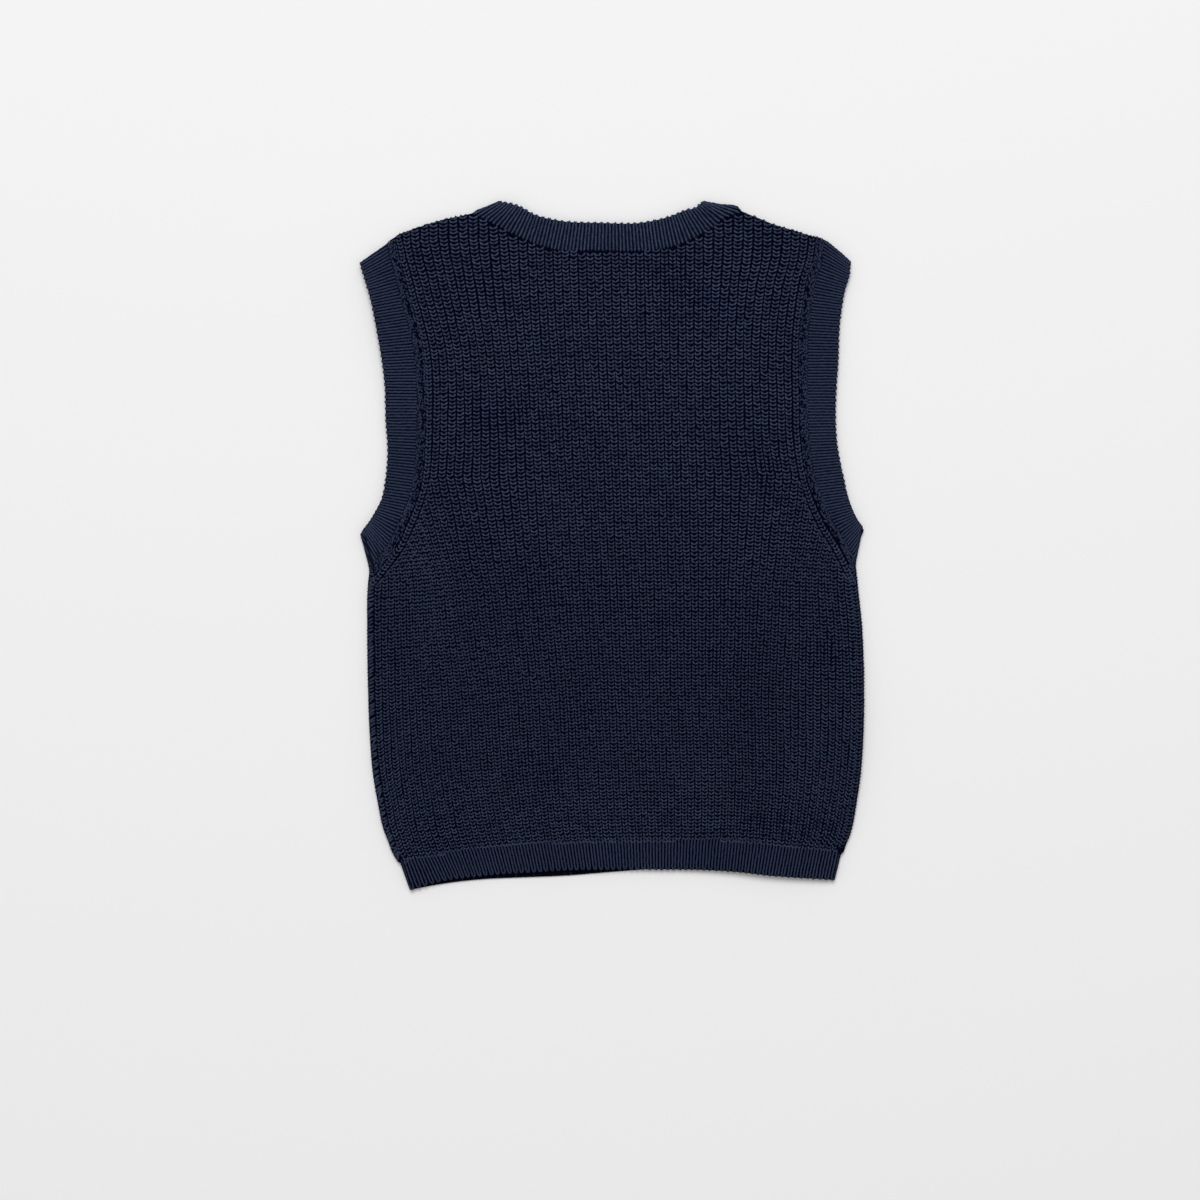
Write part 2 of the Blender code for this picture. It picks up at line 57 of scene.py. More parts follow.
# So near a seam or fold a place counts as beside it, and so far apart are the points of a fold's line.
FOLD_REACH = 9.0
FOLD_STEP = 3.0

# Creases in the upper layer's face, followed by its stitches and loops alone. Two are short and sharp, the
# last a wide, very shallow trough. Their depth also darkens the yarn's colour there, as painted shade.
CREASES = (
    # start_x, start_y, end_x, end_y, half_width, depth, fade
    (-196.0, 3.0, -189.5, -20.0, 0.9, 1.2, 5.0),
    (-186.5, -6.0, -183.5, -24.0, 0.9, 0.7, 5.0),
    (109.0, -80.0, 113.0, -210.0, 24.0, 0.28, 30.0),
)

SIDE_ROWS = np.array((
    # height, left, right
    (-244.0, -175.6, 184.6),
    (-236.0, -178.4, 188.8),
    (-226.4, -182.2, 192.0),
    (-207.2, -186.2, 195.4),
    (-183.2, -190.4, 198.8),
    (-154.4, -192.8, 200.8),
    (-111.2, -194.4, 201.6),
    (-63.2, -195.0, 200.0),
    (-36.0, -194.8, 197.2),
))
BODY_CORNER_LEFT = (-171.0, -252.4)
BODY_CORNER_RIGHT = (185.6, -244.6)
LEFT_SHOULDER = ((-171.0, 248.6), (-158.0, 253.8), (-140.0, 259.6), (-122.0, 263.8))
RIGHT_SHOULDER = ((114.0, 263.8), (130.0, 257.2), (146.0, 252.4), (160.0, 248.0))

WELT_GUIDES = np.array((
    # top_x, top_y, low_x, low_y, front_low_y
    (-168.6, -253.8, -161.4, -276.4, -276.2),
    (-148.0, -249.8, -139.0, -269.6, -272.0),
    (-112.8, -244.4, -106.0, -264.8, -267.9),
    (-76.0, -240.4, -71.0, -262.0, -266.2),
    (-40.8, -238.6, -37.0, -260.0, -264.8),
    (-8.8, -237.6, -6.5, -259.4, -262.4),
    (38.4, -236.9, 38.4, -259.7, -259.2),
    (72.0, -236.9, 70.5, -260.0, -258.2),
    (105.6, -237.4, 102.5, -261.9, -259.4),
    (127.2, -240.6, 123.0, -264.2, -261.2),
    (183.4, -246.4, 178.6, -268.2, -265.4),
))
NECK_BACK = np.array((
    # edge_x, edge_y, seam_x, seam_y
    (-90.4, 275.6, -111.2, 265.4),
    (-72.6, 271.2, -85.6, 252.6),
    (-61.0, 264.8, -68.6, 244.2),
    (-40.8, 260.0, -45.6, 236.8),
    (-8.8, 258.4, -9.6, 235.6),
    (23.2, 258.4, 25.6, 235.6),
    (45.6, 263.2, 51.2, 239.6),
    (60.8, 269.0, 73.6, 249.8),
    (66.4, 270.2, 80.4, 253.4),
    (69.8, 273.0, 86.0, 259.0),
    (73.6, 275.6, 104.0, 267.0),
))
ARMHOLE_LEFT = np.array((
    # edge_x, edge_y, seam_x, seam_y
    (-201.6, 226.4, -177.6, 243.4),
    (-198.4, 215.2, -174.2, 227.4),
    (-195.4, 205.6, -170.4, 213.6),
    (-192.0, 192.8, -166.4, 198.4),
    (-188.0, 172.0, -160.2, 176.0),
    (-184.6, 152.8, -155.4, 155.2),
    (-181.6, 128.8, -153.4, 128.8),
    (-180.8, 100.0, -153.6, 100.0),
    (-179.2, 76.0, -154.2, 74.4),
    (-180.4, 56.8, -156.2, 53.6),
    (-184.0, 37.6, -161.6, 33.6),
    (-189.4, 27.0, -168.0, 18.6),
    (-194.0, 19.4, -175.2, 2.8),
    (-198.4, 13.6, -183.6, -8.6),
    (-201.6, 8.0, -193.6, -21.6),
))
ARMHOLE_RIGHT = np.array((
    # edge_x, edge_y, seam_x, seam_y
    (191.2, 226.4, 168.0, 245.6),
    (190.4, 215.2, 166.0, 227.0),
    (187.4, 205.6, 161.4, 212.8),
    (184.8, 192.8, 158.4, 196.6),
    (182.4, 172.0, 155.4, 173.4),
    (181.6, 148.8, 154.4, 148.8),
    (179.4, 113.6, 155.0, 113.6),
    (180.2, 84.0, 156.0, 83.2),
    (184.4, 60.0, 160.0, 57.2),
    (189.8, 37.6, 167.8, 34.0),
    (194.4, 25.6, 175.2, 18.4),
    (198.0, 19.2, 183.0, 6.4),
    (200.6, 15.4, 189.4, -4.6),
    (201.4, 13.0, 195.2, -16.8),
))
NECK_RIBS = 36
ARMHOLE_RIBS = 52
WELT_RIBS = 70


def smooth(knots, values, wanted):
    """Rows of values between the rows given at the knots, on a smooth curve."""
    gaps = np.diff(knots)[:, None]
    rise = np.diff(values, axis=0) / gaps
    share = gaps[1:] / (gaps[1:] + gaps[:-1])
    slope = np.vstack((rise[:1], rise[:-1] * share + rise[1:] * (1.0 - share), rise[-1:]))
    place = np.clip(np.searchsorted(knots, wanted, side="right") - 1, 0, len(knots) - 2)
    span = gaps[place]
    t = (wanted - knots[place])[:, None] / span
    start, end = values[place], values[place + 1]
    return (
        start * (1.0 + 2.0 * t) * (1.0 - t) ** 2
        + end * (3.0 - 2.0 * t) * t**2
        + slope[place] * span * t * (1.0 - t) ** 2
        - slope[place + 1] * span * (1.0 - t) * t**2
    )


def lengths(points):
    return np.concatenate(([0.0], np.cumsum(np.linalg.norm(np.diff(points, axis=0), axis=1))))


def smooth_line(points, step):
    along = lengths(points)
    return smooth(along, np.array(points), np.linspace(0.0, along[-1], round(along[-1] / step) + 1))


def strip_lines(seam, edge, along, ribs):
    """Seam and free edge of a rib strip: a groove at each even place, a rib at each odd one."""
    wanted = np.linspace(0.0, along[-1], 2 * ribs + 1)
    seam_line = smooth(along, seam, wanted)
    seam_line[1::2] = (seam_line[:-1:2] + seam_line[2::2]) / 2.0
    return seam_line, smooth(along, edge, wanted)


def band_lines(guides, ribs):
    edge, seam = guides[:, 0:2], guides[:, 2:4]
    return strip_lines(seam, edge, lengths((edge + seam) / 2.0), ribs)


def welt_lines(low_column):
    seam, edge = WELT_GUIDES[:, 0:2], WELT_GUIDES[:, (2, low_column)]
    return strip_lines(seam, edge, lengths(seam), WELT_RIBS)


neck_seam, neck_edge = band_lines(NECK_BACK, NECK_RIBS)
left_seam, left_edge = band_lines(ARMHOLE_LEFT, ARMHOLE_RIBS)
right_seam, right_edge = band_lines(ARMHOLE_RIGHT, ARMHOLE_RIBS)
hem_seam, hem_edge = welt_lines(3)
front_hem_seam, front_hem_edge = welt_lines(4)

# The body's outline, counter-clockwise: where it is joined to a rib strip, and where it is folded.
hem_line = np.vstack((BODY_CORNER_LEFT, hem_seam, BODY_CORNER_RIGHT))
seams = [hem_line, right_seam[::-1], neck_seam[::-1], left_seam]
folds = [
    smooth_line(np.vstack((BODY_CORNER_RIGHT, SIDE_ROWS[:, (2, 0)], right_seam[-1])), FOLD_STEP),
    smooth_line(np.vstack((right_seam[0], RIGHT_SHOULDER[::-1], neck_seam[-1])), FOLD_STEP),
    smooth_line(np.vstack((neck_seam[0], LEFT_SHOULDER[::-1], left_seam[0])), FOLD_STEP),
    smooth_line(np.vstack((left_seam[-1], SIDE_ROWS[::-1, (1, 0)], BODY_CORNER_LEFT)), FOLD_STEP),
]


def bump(share):
    """A soft swelling: 1 in the middle, 0 from a share of 1 on."""
    return np.clip(1.0 - share**2, 0.0, None) ** 2


def creased(x, y):
    """How far the creases lower the upper layer's face."""
    depth = np.zeros_like(x)
    for start_x, start_y, end_x, end_y, half_width, deep, fade in CREASES:
        way = np.array((end_x - start_x, end_y - start_y))
        length = np.linalg.norm(way)
        along = ((x - start_x) * way[0] + (y - start_y) * way[1]) / length
        across = ((x - start_x) * way[1] - (y - start_y) * way[0]) / length
        past = along - np.clip(along, 0.0, length)
        depth += deep * np.exp(-(across**2) / half_width**2 - past**2 / fade**2)
    return depth


def nearest_on(line, plan, reach):
    """Signed distance of each point from a line, above 0 to its left, with the line's nearest point and left.

    Points further off than reach get a distance of infinity.
    """
    tangent = np.gradient(line, axis=0)
    left = np.column_stack((-tangent[:, 1], tangent[:, 0]))
    left /= np.linalg.norm(left, axis=1)[:, None]
    best = np.full(len(plan), np.inf)
    signed, place, way = best.copy(), np.zeros_like(plan), np.zeros_like(plan)
    for i in range(len(line) - 1):
        low = np.minimum(line[i], line[i + 1]) - reach
        high = np.maximum(line[i], line[i + 1]) + reach
        close = np.flatnonzero(((plan > low) & (plan < high)).all(1))
        start, along = line[i], line[i + 1] - line[i]
        t = np.clip((plan[close] - start) @ along / (along @ along), 0.0, 1.0)[:, None]
        foot = start + t * along
        gap = np.linalg.norm(plan[close] - foot, axis=1)
        nearer = gap < best[close]
        close, t, foot, gap = close[nearer], t[nearer], foot[nearer], gap[nearer]
        normal = left[i] * (1.0 - t) + left[i + 1] * t
        best[close] = gap
        signed[close] = gap * np.where(((plan[close] - foot) * normal).sum(1) < 0.0, -1.0, 1.0)
        place[close], way[close] = foot, normal
    return signed, place, way


def linear(colour):
    """An sRGB hex colour as the linear colour that a shader takes."""
    parts = [int(colour[i : i + 2], 16) / 255.0 for i in (1, 3, 5)]
    return [c / 12.92 if c <= 0.04045 else ((c + 0.055) / 1.055) ** 2.4 for c in parts] + [1.0]


def add(tree, kind, sockets=None, **settings):
    """Adds a node. sockets maps an input's name or number to its value, or to the output that feeds it."""
    new = tree.nodes.new(kind)
    for name, value in settings.items():
        setattr(new, name, value)
    for name, value in (sockets or {}).items():
        if isinstance(value, bpy.types.NodeSocket):
            tree.links.new(value, new.inputs[name])
        else:
            new.inputs[name].default_value = value
    return new


def material(name):
    """A new material, its node tree and its Principled shader."""
    made = bpy.data.materials.new(name)
    made.use_nodes = True
    return made, made.node_tree, made.node_tree.nodes["Principled BSDF"]


# Wrong side of the knit: the close loops behind the stitches, in the same cotton. Matt, and painted nearly
# black as the shade between the stitches, where little light gets in. Its loops are small bumps, a course
# and a wale apart. Its fluff is drawn coarser than fibre ends are, so that it shows.
COURSE = 2.94
WALE = 6.0
GROUND_FLUFF = 1.6
LOOP_RELIEF = 0.4
GROUND_DARK = "#01020e"
GROUND_LIGHT = "#040718"


def wrong_side(name, dark, light):
    made, tree, shader = material(name)
    place = add(tree, "ShaderNodeTexCoord").outputs["Object"]
    fluff = add(
        tree,
        "ShaderNodeTexNoise",
        {"Vector": place, "Scale": 1.0 / (GROUND_FLUFF * METRES), "Detail": 3.0},
    )
    colour = add(
        tree,
        "ShaderNodeMix",
        {"Factor": fluff.outputs["Fac"], 6: linear(dark), 7: linear(light)},
        data_type="RGBA",
    )
    split = add(tree, "ShaderNodeSeparateXYZ", {"Vector": place})
    waves = []
    for axis, pitch in (("Y", COURSE), ("X", WALE)):
        turns = 2.0 * math.pi / (pitch * METRES)
        angle = add(tree, "ShaderNodeMath", {0: split.outputs[axis], 1: turns}, operation="MULTIPLY")
        waves.append(add(tree, "ShaderNodeMath", {0: angle.outputs[0]}, operation="SINE").outputs[0])
    loops = add(tree, "ShaderNodeMath", {0: waves[0], 1: waves[1]}, operation="ADD")
    relief = add(
        tree,
        "ShaderNodeBump",
        {"Height": loops.outputs[0], "Strength": 0.5, "Distance": LOOP_RELIEF * METRES},
    )
    tree.links.new(colour.outputs[2], shader.inputs["Base Color"])
    tree.links.new(relief.outputs["Normal"], shader.inputs["Normal"])
    shader.inputs["Roughness"].default_value = 0.95
    shader.inputs["Specular IOR Level"].default_value = 0.02
    return made


shaded_ground_cotton = wrong_side("knit_wrong_side_painted_shade", GROUND_DARK, GROUND_LIGHT)


def ground(name, node, free_edge=None, face=shaded_ground_cotton, free_pull=GROUND_FREE):
    """The loops behind the stitches: the cloth's own form, drawn in under the yarn wherever yarn covers it.

    At a seam it goes straight down, so that it still meets the next piece. At each fold and free edge it is
    pulled in or out besides, to lie just behind the loops of yarn that make that edge.
    """
    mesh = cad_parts[node].data.copy()
    mesh.name = name
    welded = bmesh.new()
    welded.from_mesh(mesh)
    bmesh.ops.remove_doubles(welded, verts=welded.verts, dist=WELD * METRES)
    welded.to_mesh(mesh)
    welded.free()
    count = len(mesh.vertices)
    points, normals = np.empty(count * 3), np.empty(count * 3)
    mesh.vertices.foreach_get("co", points)
    mesh.vertex_normals.foreach_get("vector", normals)
    points, normals = points.reshape(-1, 3), normals.reshape(-1, 3)
    plan = points[:, 0:2] / METRES
    by_seam = np.full(count, np.inf)
    for line in seams:
        by_seam = np.minimum(by_seam, np.abs(nearest_on(line, plan, FOLD_REACH)[0]))
    way = normals.copy()
    way[by_seam < GROUND_SEAM, 0:2] = 0.0
    way[normals[:, 2] < -FACING, 2] = 0.0
    depth = GROUND_DEPTH + creased(*plan.T) * (normals[:, 2] > FACING)
    pull = np.zeros((count, 2))
    for line, far in [*zip(folds, GROUND_FOLDS), (free_edge, free_pull)]:
        if line is not None:
            signed, _, inward = nearest_on(line, plan, GROUND_EDGE_REACH)
            share = bump(np.minimum(np.abs(signed) / GROUND_EDGE_REACH, 1.0))
            side = 1.0 if line is not free_edge else np.sign(signed[np.isfinite(signed)].sum())
            pull += inward * (side * far * share)[:, None]
    pull[by_seam < GROUND_SEAM] = 0.0
    points -= way * depth[:, None] * METRES
    points[:, 0:2] += pull * METRES
    mesh.vertices.foreach_set("co", points.ravel())
    mesh.materials.clear()
    mesh.materials.append(face)
    mesh.update()
    cloth = bpy.data.objects.new(name, mesh)
    bpy.context.scene.collection.objects.link(cloth)
    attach(cloth, "root")
    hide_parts(node)
    return cloth


front_ground = ground("front_panel_ground", "front_panel")

# Front hem rib. The front's 1x1 rib welt, knitted in one with the panel. Its last courses show as a dark
# strip below the back's hem. Each rib is a column of steep stitches, two legs to a stitch.

FRONT_WALL = 3.0
# Where the vest's underside doesn't rest on the surface.
LIFTS = (
    # x, y, reach, height
    (-214.0, 176.0, 84.0, 4.0),
    (216.0, -150.0, 92.0, 3.6),
    (126.0, -286.0, 72.0, 3.0),
)
YARN_SIDES = 5
SLOPE_STEP = 0.02

RIB_LEG = np.array((
    # across, along, height, radius: shares of a rib and of a course, then millimetres
    (0.29, 0.85, -0.70, 0.0),
    (0.275, 0.50, -0.10, 0.72),
    (0.255, 0.10, 0.08, 0.88),
    (0.235, -0.30, 0.05, 0.88),
    (0.215, -0.70, -0.15, 0.72),
    (0.20, -1.00, -0.70, 0.0),
))
EDGE_LOOP = np.array((
    # across, along, height, radius: shares of a rib and of a course, then millimetres
    (0.27, 0.85, -0.80, 0.0),
    (0.20, 0.42, -0.05, 0.76),
    (0.10, -0.08, 0.05, 0.82),
    (0.0, -0.40, 0.0, 0.82),
    (-0.10, -0.08, 0.05, 0.82),
    (-0.20, 0.42, -0.05, 0.76),
    (-0.27, 0.85, -0.80, 0.0),
))
# How far down among the stitches the yarn's colour is darkened to its full painted shade.
PAINTED_SHADE_DEPTH = 1.15
# Round a fold the yarn turns from the light: how dark it gets, under which upward share, and how fast.
TURNED_SHADOW = 0.9
TURNED_FROM = 0.94
TURNED_RISE = 1.9
# How far stitches differ in a knit of looseness 1: lean and places in shares of a course or rib, height in
# millimetres, and size as a share.
LEAN_SPREAD = 0.07
ACROSS_SPREAD = 0.025
ALONG_SPREAD = 0.05
HEIGHT_SPREAD = 0.07
SIZE_SPREAD = 0.05
# How far they differ in tone in any knit.
TONE_SPREAD = 0.6
RIB_LOOSE = 0.7
FRONT_HEM_COURSES = 9
FRONT_HEM_SHOWN = 4
FRONT_HEM_INSET = 1.0
FRONT_HEM_SIZE = 0.82
# Its yarn is painted dark, as painted shadow of the back's hem that lies over it.
FRONT_HEM_SHADE = 0.1

# Combed cotton yarn of three plies, dyed navy and matt, with a faint bloom of fibre ends. The twist of the
# plies runs slantwise round it, and each stitch takes the light a little differently. The fibre ends are
# drawn coarser than they are, so that they show. Deep among the stitches and round the folds its colour is
# darkened toward a painted shade.
# The colour that the yarn is painted deep among the stitches and round the folds: painted shade.
COTTON_PAINTED_SHADE = "#03061a"
COTTON_DARK = "#1b243c"
COTTON_LIGHT = "#3e4963"
FLUFF_SIZE = 0.9
FLUFF_SHARE = 0.5
DYE_SIZE = 70.0
DYE_SHARE = 0.3
TINT_LOW = 0.2
TINT_HIGH = 1.4
# Ridges of the plies to a millimetre of yarn and round it, and how much they stand out.
PLY_TWIST = 1.3
PLIES = 3.0
PLY_SHARE = 0.5
PLY_RELIEF = 0.2
yarn_cotton, tree, shader = material("cotton_yarn_navy")
place = add(tree, "ShaderNodeTexCoord").outputs["Object"]
tone = add(tree, "ShaderNodeAttribute", attribute_name="tone").outputs["Fac"]
painted_shade = add(tree, "ShaderNodeAttribute", attribute_name="painted_shade").outputs["Fac"]
fluff = add(
    tree,
    "ShaderNodeTexNoise",
    {"Vector": place, "Scale": 1.0 / (FLUFF_SIZE * METRES), "Detail": 3.0},
)
dye = add(
    tree,
    "ShaderNodeTexNoise",
    {"Vector": place, "Scale": 1.0 / (DYE_SIZE * METRES), "Detail": 1.0},
)
tint = add(
    tree,
    "ShaderNodeMath",
    {0: dye.outputs["Fac"], 1: DYE_SHARE, 2: tone},
    operation="MULTIPLY_ADD",
)
tint = add(
    tree,
    "ShaderNodeMath",
    {0: fluff.outputs["Fac"], 1: FLUFF_SHARE, 2: tint.outputs[0]},
    operation="MULTIPLY_ADD",
)
tint = add(
    tree,
    "ShaderNodeMapRange",
    {"Value": tint.outputs[0], "From Min": TINT_LOW, "From Max": TINT_HIGH},
)
face = add(
    tree,
    "ShaderNodeMix",
    {"Factor": tint.outputs[0], 6: linear(COTTON_DARK), 7: linear(COTTON_LIGHT)},
    data_type="RGBA",
)
colour = add(
    tree,
    "ShaderNodeMix",
    {"Factor": painted_shade, 6: face.outputs[2], 7: linear(COTTON_PAINTED_SHADE)},
    data_type="RGBA",
)
strand = add(tree, "ShaderNodeUVMap", uv_map="strand")
split = add(tree, "ShaderNodeSeparateXYZ", {"Vector": strand.outputs["UV"]})
turn = add(
    tree,
    "ShaderNodeMath",
    {0: split.outputs["X"], 1: 2.0 * math.pi * PLY_TWIST},
    operation="MULTIPLY",
)
turn = add(
    tree,
    "ShaderNodeMath",
    {0: split.outputs["Y"], 1: 2.0 * math.pi * PLIES, 2: turn.outputs[0]},
    operation="MULTIPLY_ADD",
)
plies = add(tree, "ShaderNodeMath", {0: turn.outputs[0]}, operation="SINE")
plies = add(
    tree,
    "ShaderNodeMath",
    {0: plies.outputs[0], 1: PLY_SHARE, 2: fluff.outputs["Fac"]},
    operation="MULTIPLY_ADD",
)
relief = add(
    tree,
    "ShaderNodeBump",
    {"Height": plies.outputs[0], "Strength": 0.35, "Distance": PLY_RELIEF * METRES},
)
tree.links.new(colour.outputs[2], shader.inputs["Base Color"])
tree.links.new(relief.outputs["Normal"], shader.inputs["Normal"])
shader.inputs["Roughness"].default_value = 0.9
shader.inputs["Specular IOR Level"].default_value = 0.15
shader.inputs["Sheen Weight"].default_value = 0.03
shader.inputs["Sheen Roughness"].default_value = 0.4


def unit(vectors):
    return vectors / np.maximum(np.linalg.norm(vectors, axis=-1), 1e-9)[..., None]


def stitches(place, across, along, path, loose, chance, size=1.0, shade=1.0, tilt=0.0):
    """The stitches' centre lines at the given places: points, outward ways, radii, painted shade and tones.

    place turns rib and course numbers into points of the cloth. chance makes no two stitches alike, the more
    so the looser the knit. size scales the yarn, shade is how light its colour is made, in places darker as
    painted shade, and tilt raises its right half by a share of a course. Each of these three is for all the
    stitches, or for each one.
    """
    count = len(across)
    lean = (tilt + chance.normal(0.0, LEAN_SPREAD * loose, count))[:, None] * np.sign(path[:, 0])
    a = across[:, None] + path[:, 0] + chance.normal(0.0, ACROSS_SPREAD * loose, count)[:, None]
    b = along[:, None] + path[:, 1] + chance.normal(0.0, ALONG_SPREAD * loose, count)[:, None] + lean
    height = path[:, 2] + chance.normal(0.0, HEIGHT_SPREAD * loose, count)[:, None]
    radius = path[:, 3] * (size * (1.0 + chance.normal(0.0, SIZE_SPREAD * loose, count)))[:, None]
    point = place(a, b)
    right = place(a + SLOPE_STEP, b) - point
    up = place(a, b + SLOPE_STEP) - point
    out = unit(np.cross(right, up))
    if out[..., 2].mean() < 0.0:
        out = -out
    # Deep among the stitches, in the creases and where the yarn turns from the light round a fold, its colour
    # is darkened: painted shade.
    deep = (creased(point[..., 0], point[..., 1]) - height) / PAINTED_SHADE_DEPTH
    turned = np.clip(TURNED_RISE * (TURNED_FROM - out[..., 2]), 0.0, 1.0)
    deep = np.clip(deep + TURNED_SHADOW * turned, 0.0, 1.0)
    tone = shade * (0.5 + TONE_SPREAD * (chance.random(count) - 0.5))
    return point + out * height[..., None], out, radius, deep, tone


def strand_faces(lengthwise):
    """Triangles of one strand, and the UV corners of each. It has a point at either end and rings between."""
    triangles, wrap = [], []
    rings = len(lengthwise)
    last = 1 + (rings - 3) * YARN_SIDES
    for k in range(YARN_SIDES):
        n = (k + 1) % YARN_SIDES
        v0, v1 = k / YARN_SIDES, (k + 1) / YARN_SIDES
        triangles.append((0, 1 + n, 1 + k))
        wrap += [(lengthwise[0], v0), (lengthwise[1], v1), (lengthwise[1], v0)]
        for i in range(rings - 3):
            here, there = 1 + i * YARN_SIDES, 1 + (i + 1) * YARN_SIDES
            u0, u1 = lengthwise[i + 1], lengthwise[i + 2]
            triangles += [(here + k, here + n, there + n), (here + k, there + n, there + k)]
            wrap += [(u0, v0), (u0, v1), (u1, v1), (u0, v0), (u1, v1), (u1, v0)]
        triangles.append((last + k, last + n, last + YARN_SIDES))
        wrap += [(lengthwise[-2], v0), (lengthwise[-2], v1), (lengthwise[-1], v0)]
    return np.array(triangles), np.array(wrap)


def yarn(name, groups):
    """One mesh of all the stitches in the groups, each a closed strand that tapers into its neighbours."""
    corners, faces, tones, painted_shades, strands, first = [], [], [], [], [], 0
    angles = np.arange(YARN_SIDES) * 2.0 * math.pi / YARN_SIDES + math.pi / 2.0
    for point, out, radius, deep, tone in groups:
        count = len(point)
        along = unit(np.gradient(point, axis=1))
        side = unit(np.cross(along, out))
        out = np.cross(side, along)
        spokes = side[:, :, None] * np.cos(angles)[:, None] + out[:, :, None] * np.sin(angles)[:, None]
        rim = point[:, 1:-1, None] + spokes[:, 1:-1] * radius[:, 1:-1, None, None]
        middle = rim.reshape(count, -1, 3)
        corners.append(np.concatenate((point[:, :1], middle, point[:, -1:]), axis=1).reshape(-1, 3))
        each = middle.shape[1] + 2
        triangles, wrap = strand_faces(lengths(point[0]))
        starts = first + np.arange(count) * each
        faces.append((triangles[None] + starts[:, None, None]).reshape(-1, 3))
        strands.append(np.tile(wrap, (count, 1)))
        tones.append(np.repeat(tone, each))
        ring_shade = np.repeat(deep[:, 1:-1], YARN_SIDES, axis=1)
        painted_shades.append(np.concatenate((deep[:, :1], ring_shade, deep[:, -1:]), axis=1).ravel())
        first += count * each
    corners, faces = np.concatenate(corners) * METRES, np.concatenate(faces)
    mesh = bpy.data.meshes.new(name)
    mesh.vertices.add(len(corners))
    mesh.vertices.foreach_set("co", corners.ravel())
    mesh.loops.add(faces.size)
    mesh.loops.foreach_set("vertex_index", faces.ravel().astype(np.int32))
    mesh.polygons.add(len(faces))
    mesh.polygons.foreach_set("loop_start", np.arange(0, faces.size, 3, dtype=np.int32))
    mesh.update(calc_edges=True)
    mesh.shade_smooth()
    mesh.uv_layers.new(name="strand").uv.foreach_set("vector", np.concatenate(strands).ravel())
    for attribute, values in (("tone", tones), ("painted_shade", painted_shades)):
        layer = mesh.attributes.new(attribute, "FLOAT", "POINT")
        layer.data.foreach_set("value", np.concatenate(values).astype(np.float32))
    mesh.materials.append(yarn_cotton)
    piece = bpy.data.objects.new(name, mesh)
    bpy.context.scene.collection.objects.link(piece)
    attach(piece, "root")
    return piece


def mirrored(path):
    """The same path on a stitch's other side."""
    other = path.copy()
    other[:, 0] *= -1.0
    return other


def lattice(across, along):
    """Every pair of the two lists of numbers, as two flat arrays."""
    a, b = np.meshgrid(across, along, indexing="ij")
    return a.ravel().astype(float), b.ravel().astype(float)


def on_strip(seam, edge, rib):
    """The two ends of a rib's line on its strip: at the seam and at the free edge, in plan."""
    at = 2.0 * rib + 1.0
    first = np.clip(np.floor(at).astype(int), 0, len(seam) - 2)
    rest = (at - first)[..., None]
    start = seam[first] * (1.0 - rest) + seam[first + 1] * rest
    end = edge[first] * (1.0 - rest) + edge[first + 1] * rest
    return start, end


def floor_lift(x, y):
    """Height of the lower layer's underside over the surface, which is 0 wherever the vest rests."""
    height = np.zeros_like(x)
    for at_x, at_y, reach, rise in LIFTS:
        height += rise * bump(np.hypot(x - at_x, y - at_y) / reach)
    return height


def front_hem_place(rib, course):
    start, end = on_strip(front_hem_seam, front_hem_edge, rib)
    share = (1.0 - (course + FRONT_HEM_INSET) / FRONT_HEM_COURSES)[..., None]
    plan = start + (end - start) * share
    height = floor_lift(plan[..., 0], plan[..., 1]) + FRONT_WALL / 2.0
    return np.concatenate((plan, height[..., None]), axis=-1)


chance = np.random.default_rng(11)
rib, course = lattice(range(WELT_RIBS), range(1, FRONT_HEM_SHOWN))
legs = [
    stitches(front_hem_place, rib, course, path, RIB_LOOSE, chance, FRONT_HEM_SIZE, FRONT_HEM_SHADE)
    for path in (RIB_LEG, mirrored(RIB_LEG))
]
rib, course = lattice(range(WELT_RIBS), [0])
legs.append(
    stitches(front_hem_place, rib, course, EDGE_LOOP, RIB_LOOSE, chance, FRONT_HEM_SIZE, FRONT_HEM_SHADE)
)
front_hem_yarn = yarn("front_hem_yarn", legs)
front_hem_ground = ground("front_hem_ground", "hem_rib_front", front_hem_edge)

# Back panel. The back of the vest in half-cardigan knit, a rib whose tucked courses make each stitch wide and
# low. It lies on top. At the armholes it was narrowed beside two edge wales, and the band covers the first.
# Slanting stitches run along the left side fold, a plain wale along the right, and turned stitches beyond.

LAYER_GAP = 0.3
# Long soft folds that lift this layer off the front.
FOLDS = (
    # x, y, half_length, half_width, lean_degrees, height
    (68.0, -168.0, 116.0, 34.0, -4.0, 2.8),
    (153.0, -148.0, 120.0, 32.0, -2.0, 3.0),
    (-12.0, -201.0, 100.0, 38.0, 2.0, 2.4),
    (-55.0, -233.0, 72.0, 34.0, -8.0, 1.8),
    (-148.0, -135.0, 106.0, 30.0, -2.0, 2.2),
    (-104.0, 153.0, 64.0, 40.0, -19.0, 2.0),
    (-10.0, 187.0, 80.0, 42.0, -6.0, 1.6),
    (51.0, 148.0, 84.0, 46.0, -10.0, 2.0),
    (126.0, 152.0, 100.0, 38.0, -6.0, 1.6),
    (-40.0, 25.0, 100.0, 60.0, -30.0, 1.4),
    (105.0, 10.0, 84.0, 50.0, -27.0, 1.4),
)
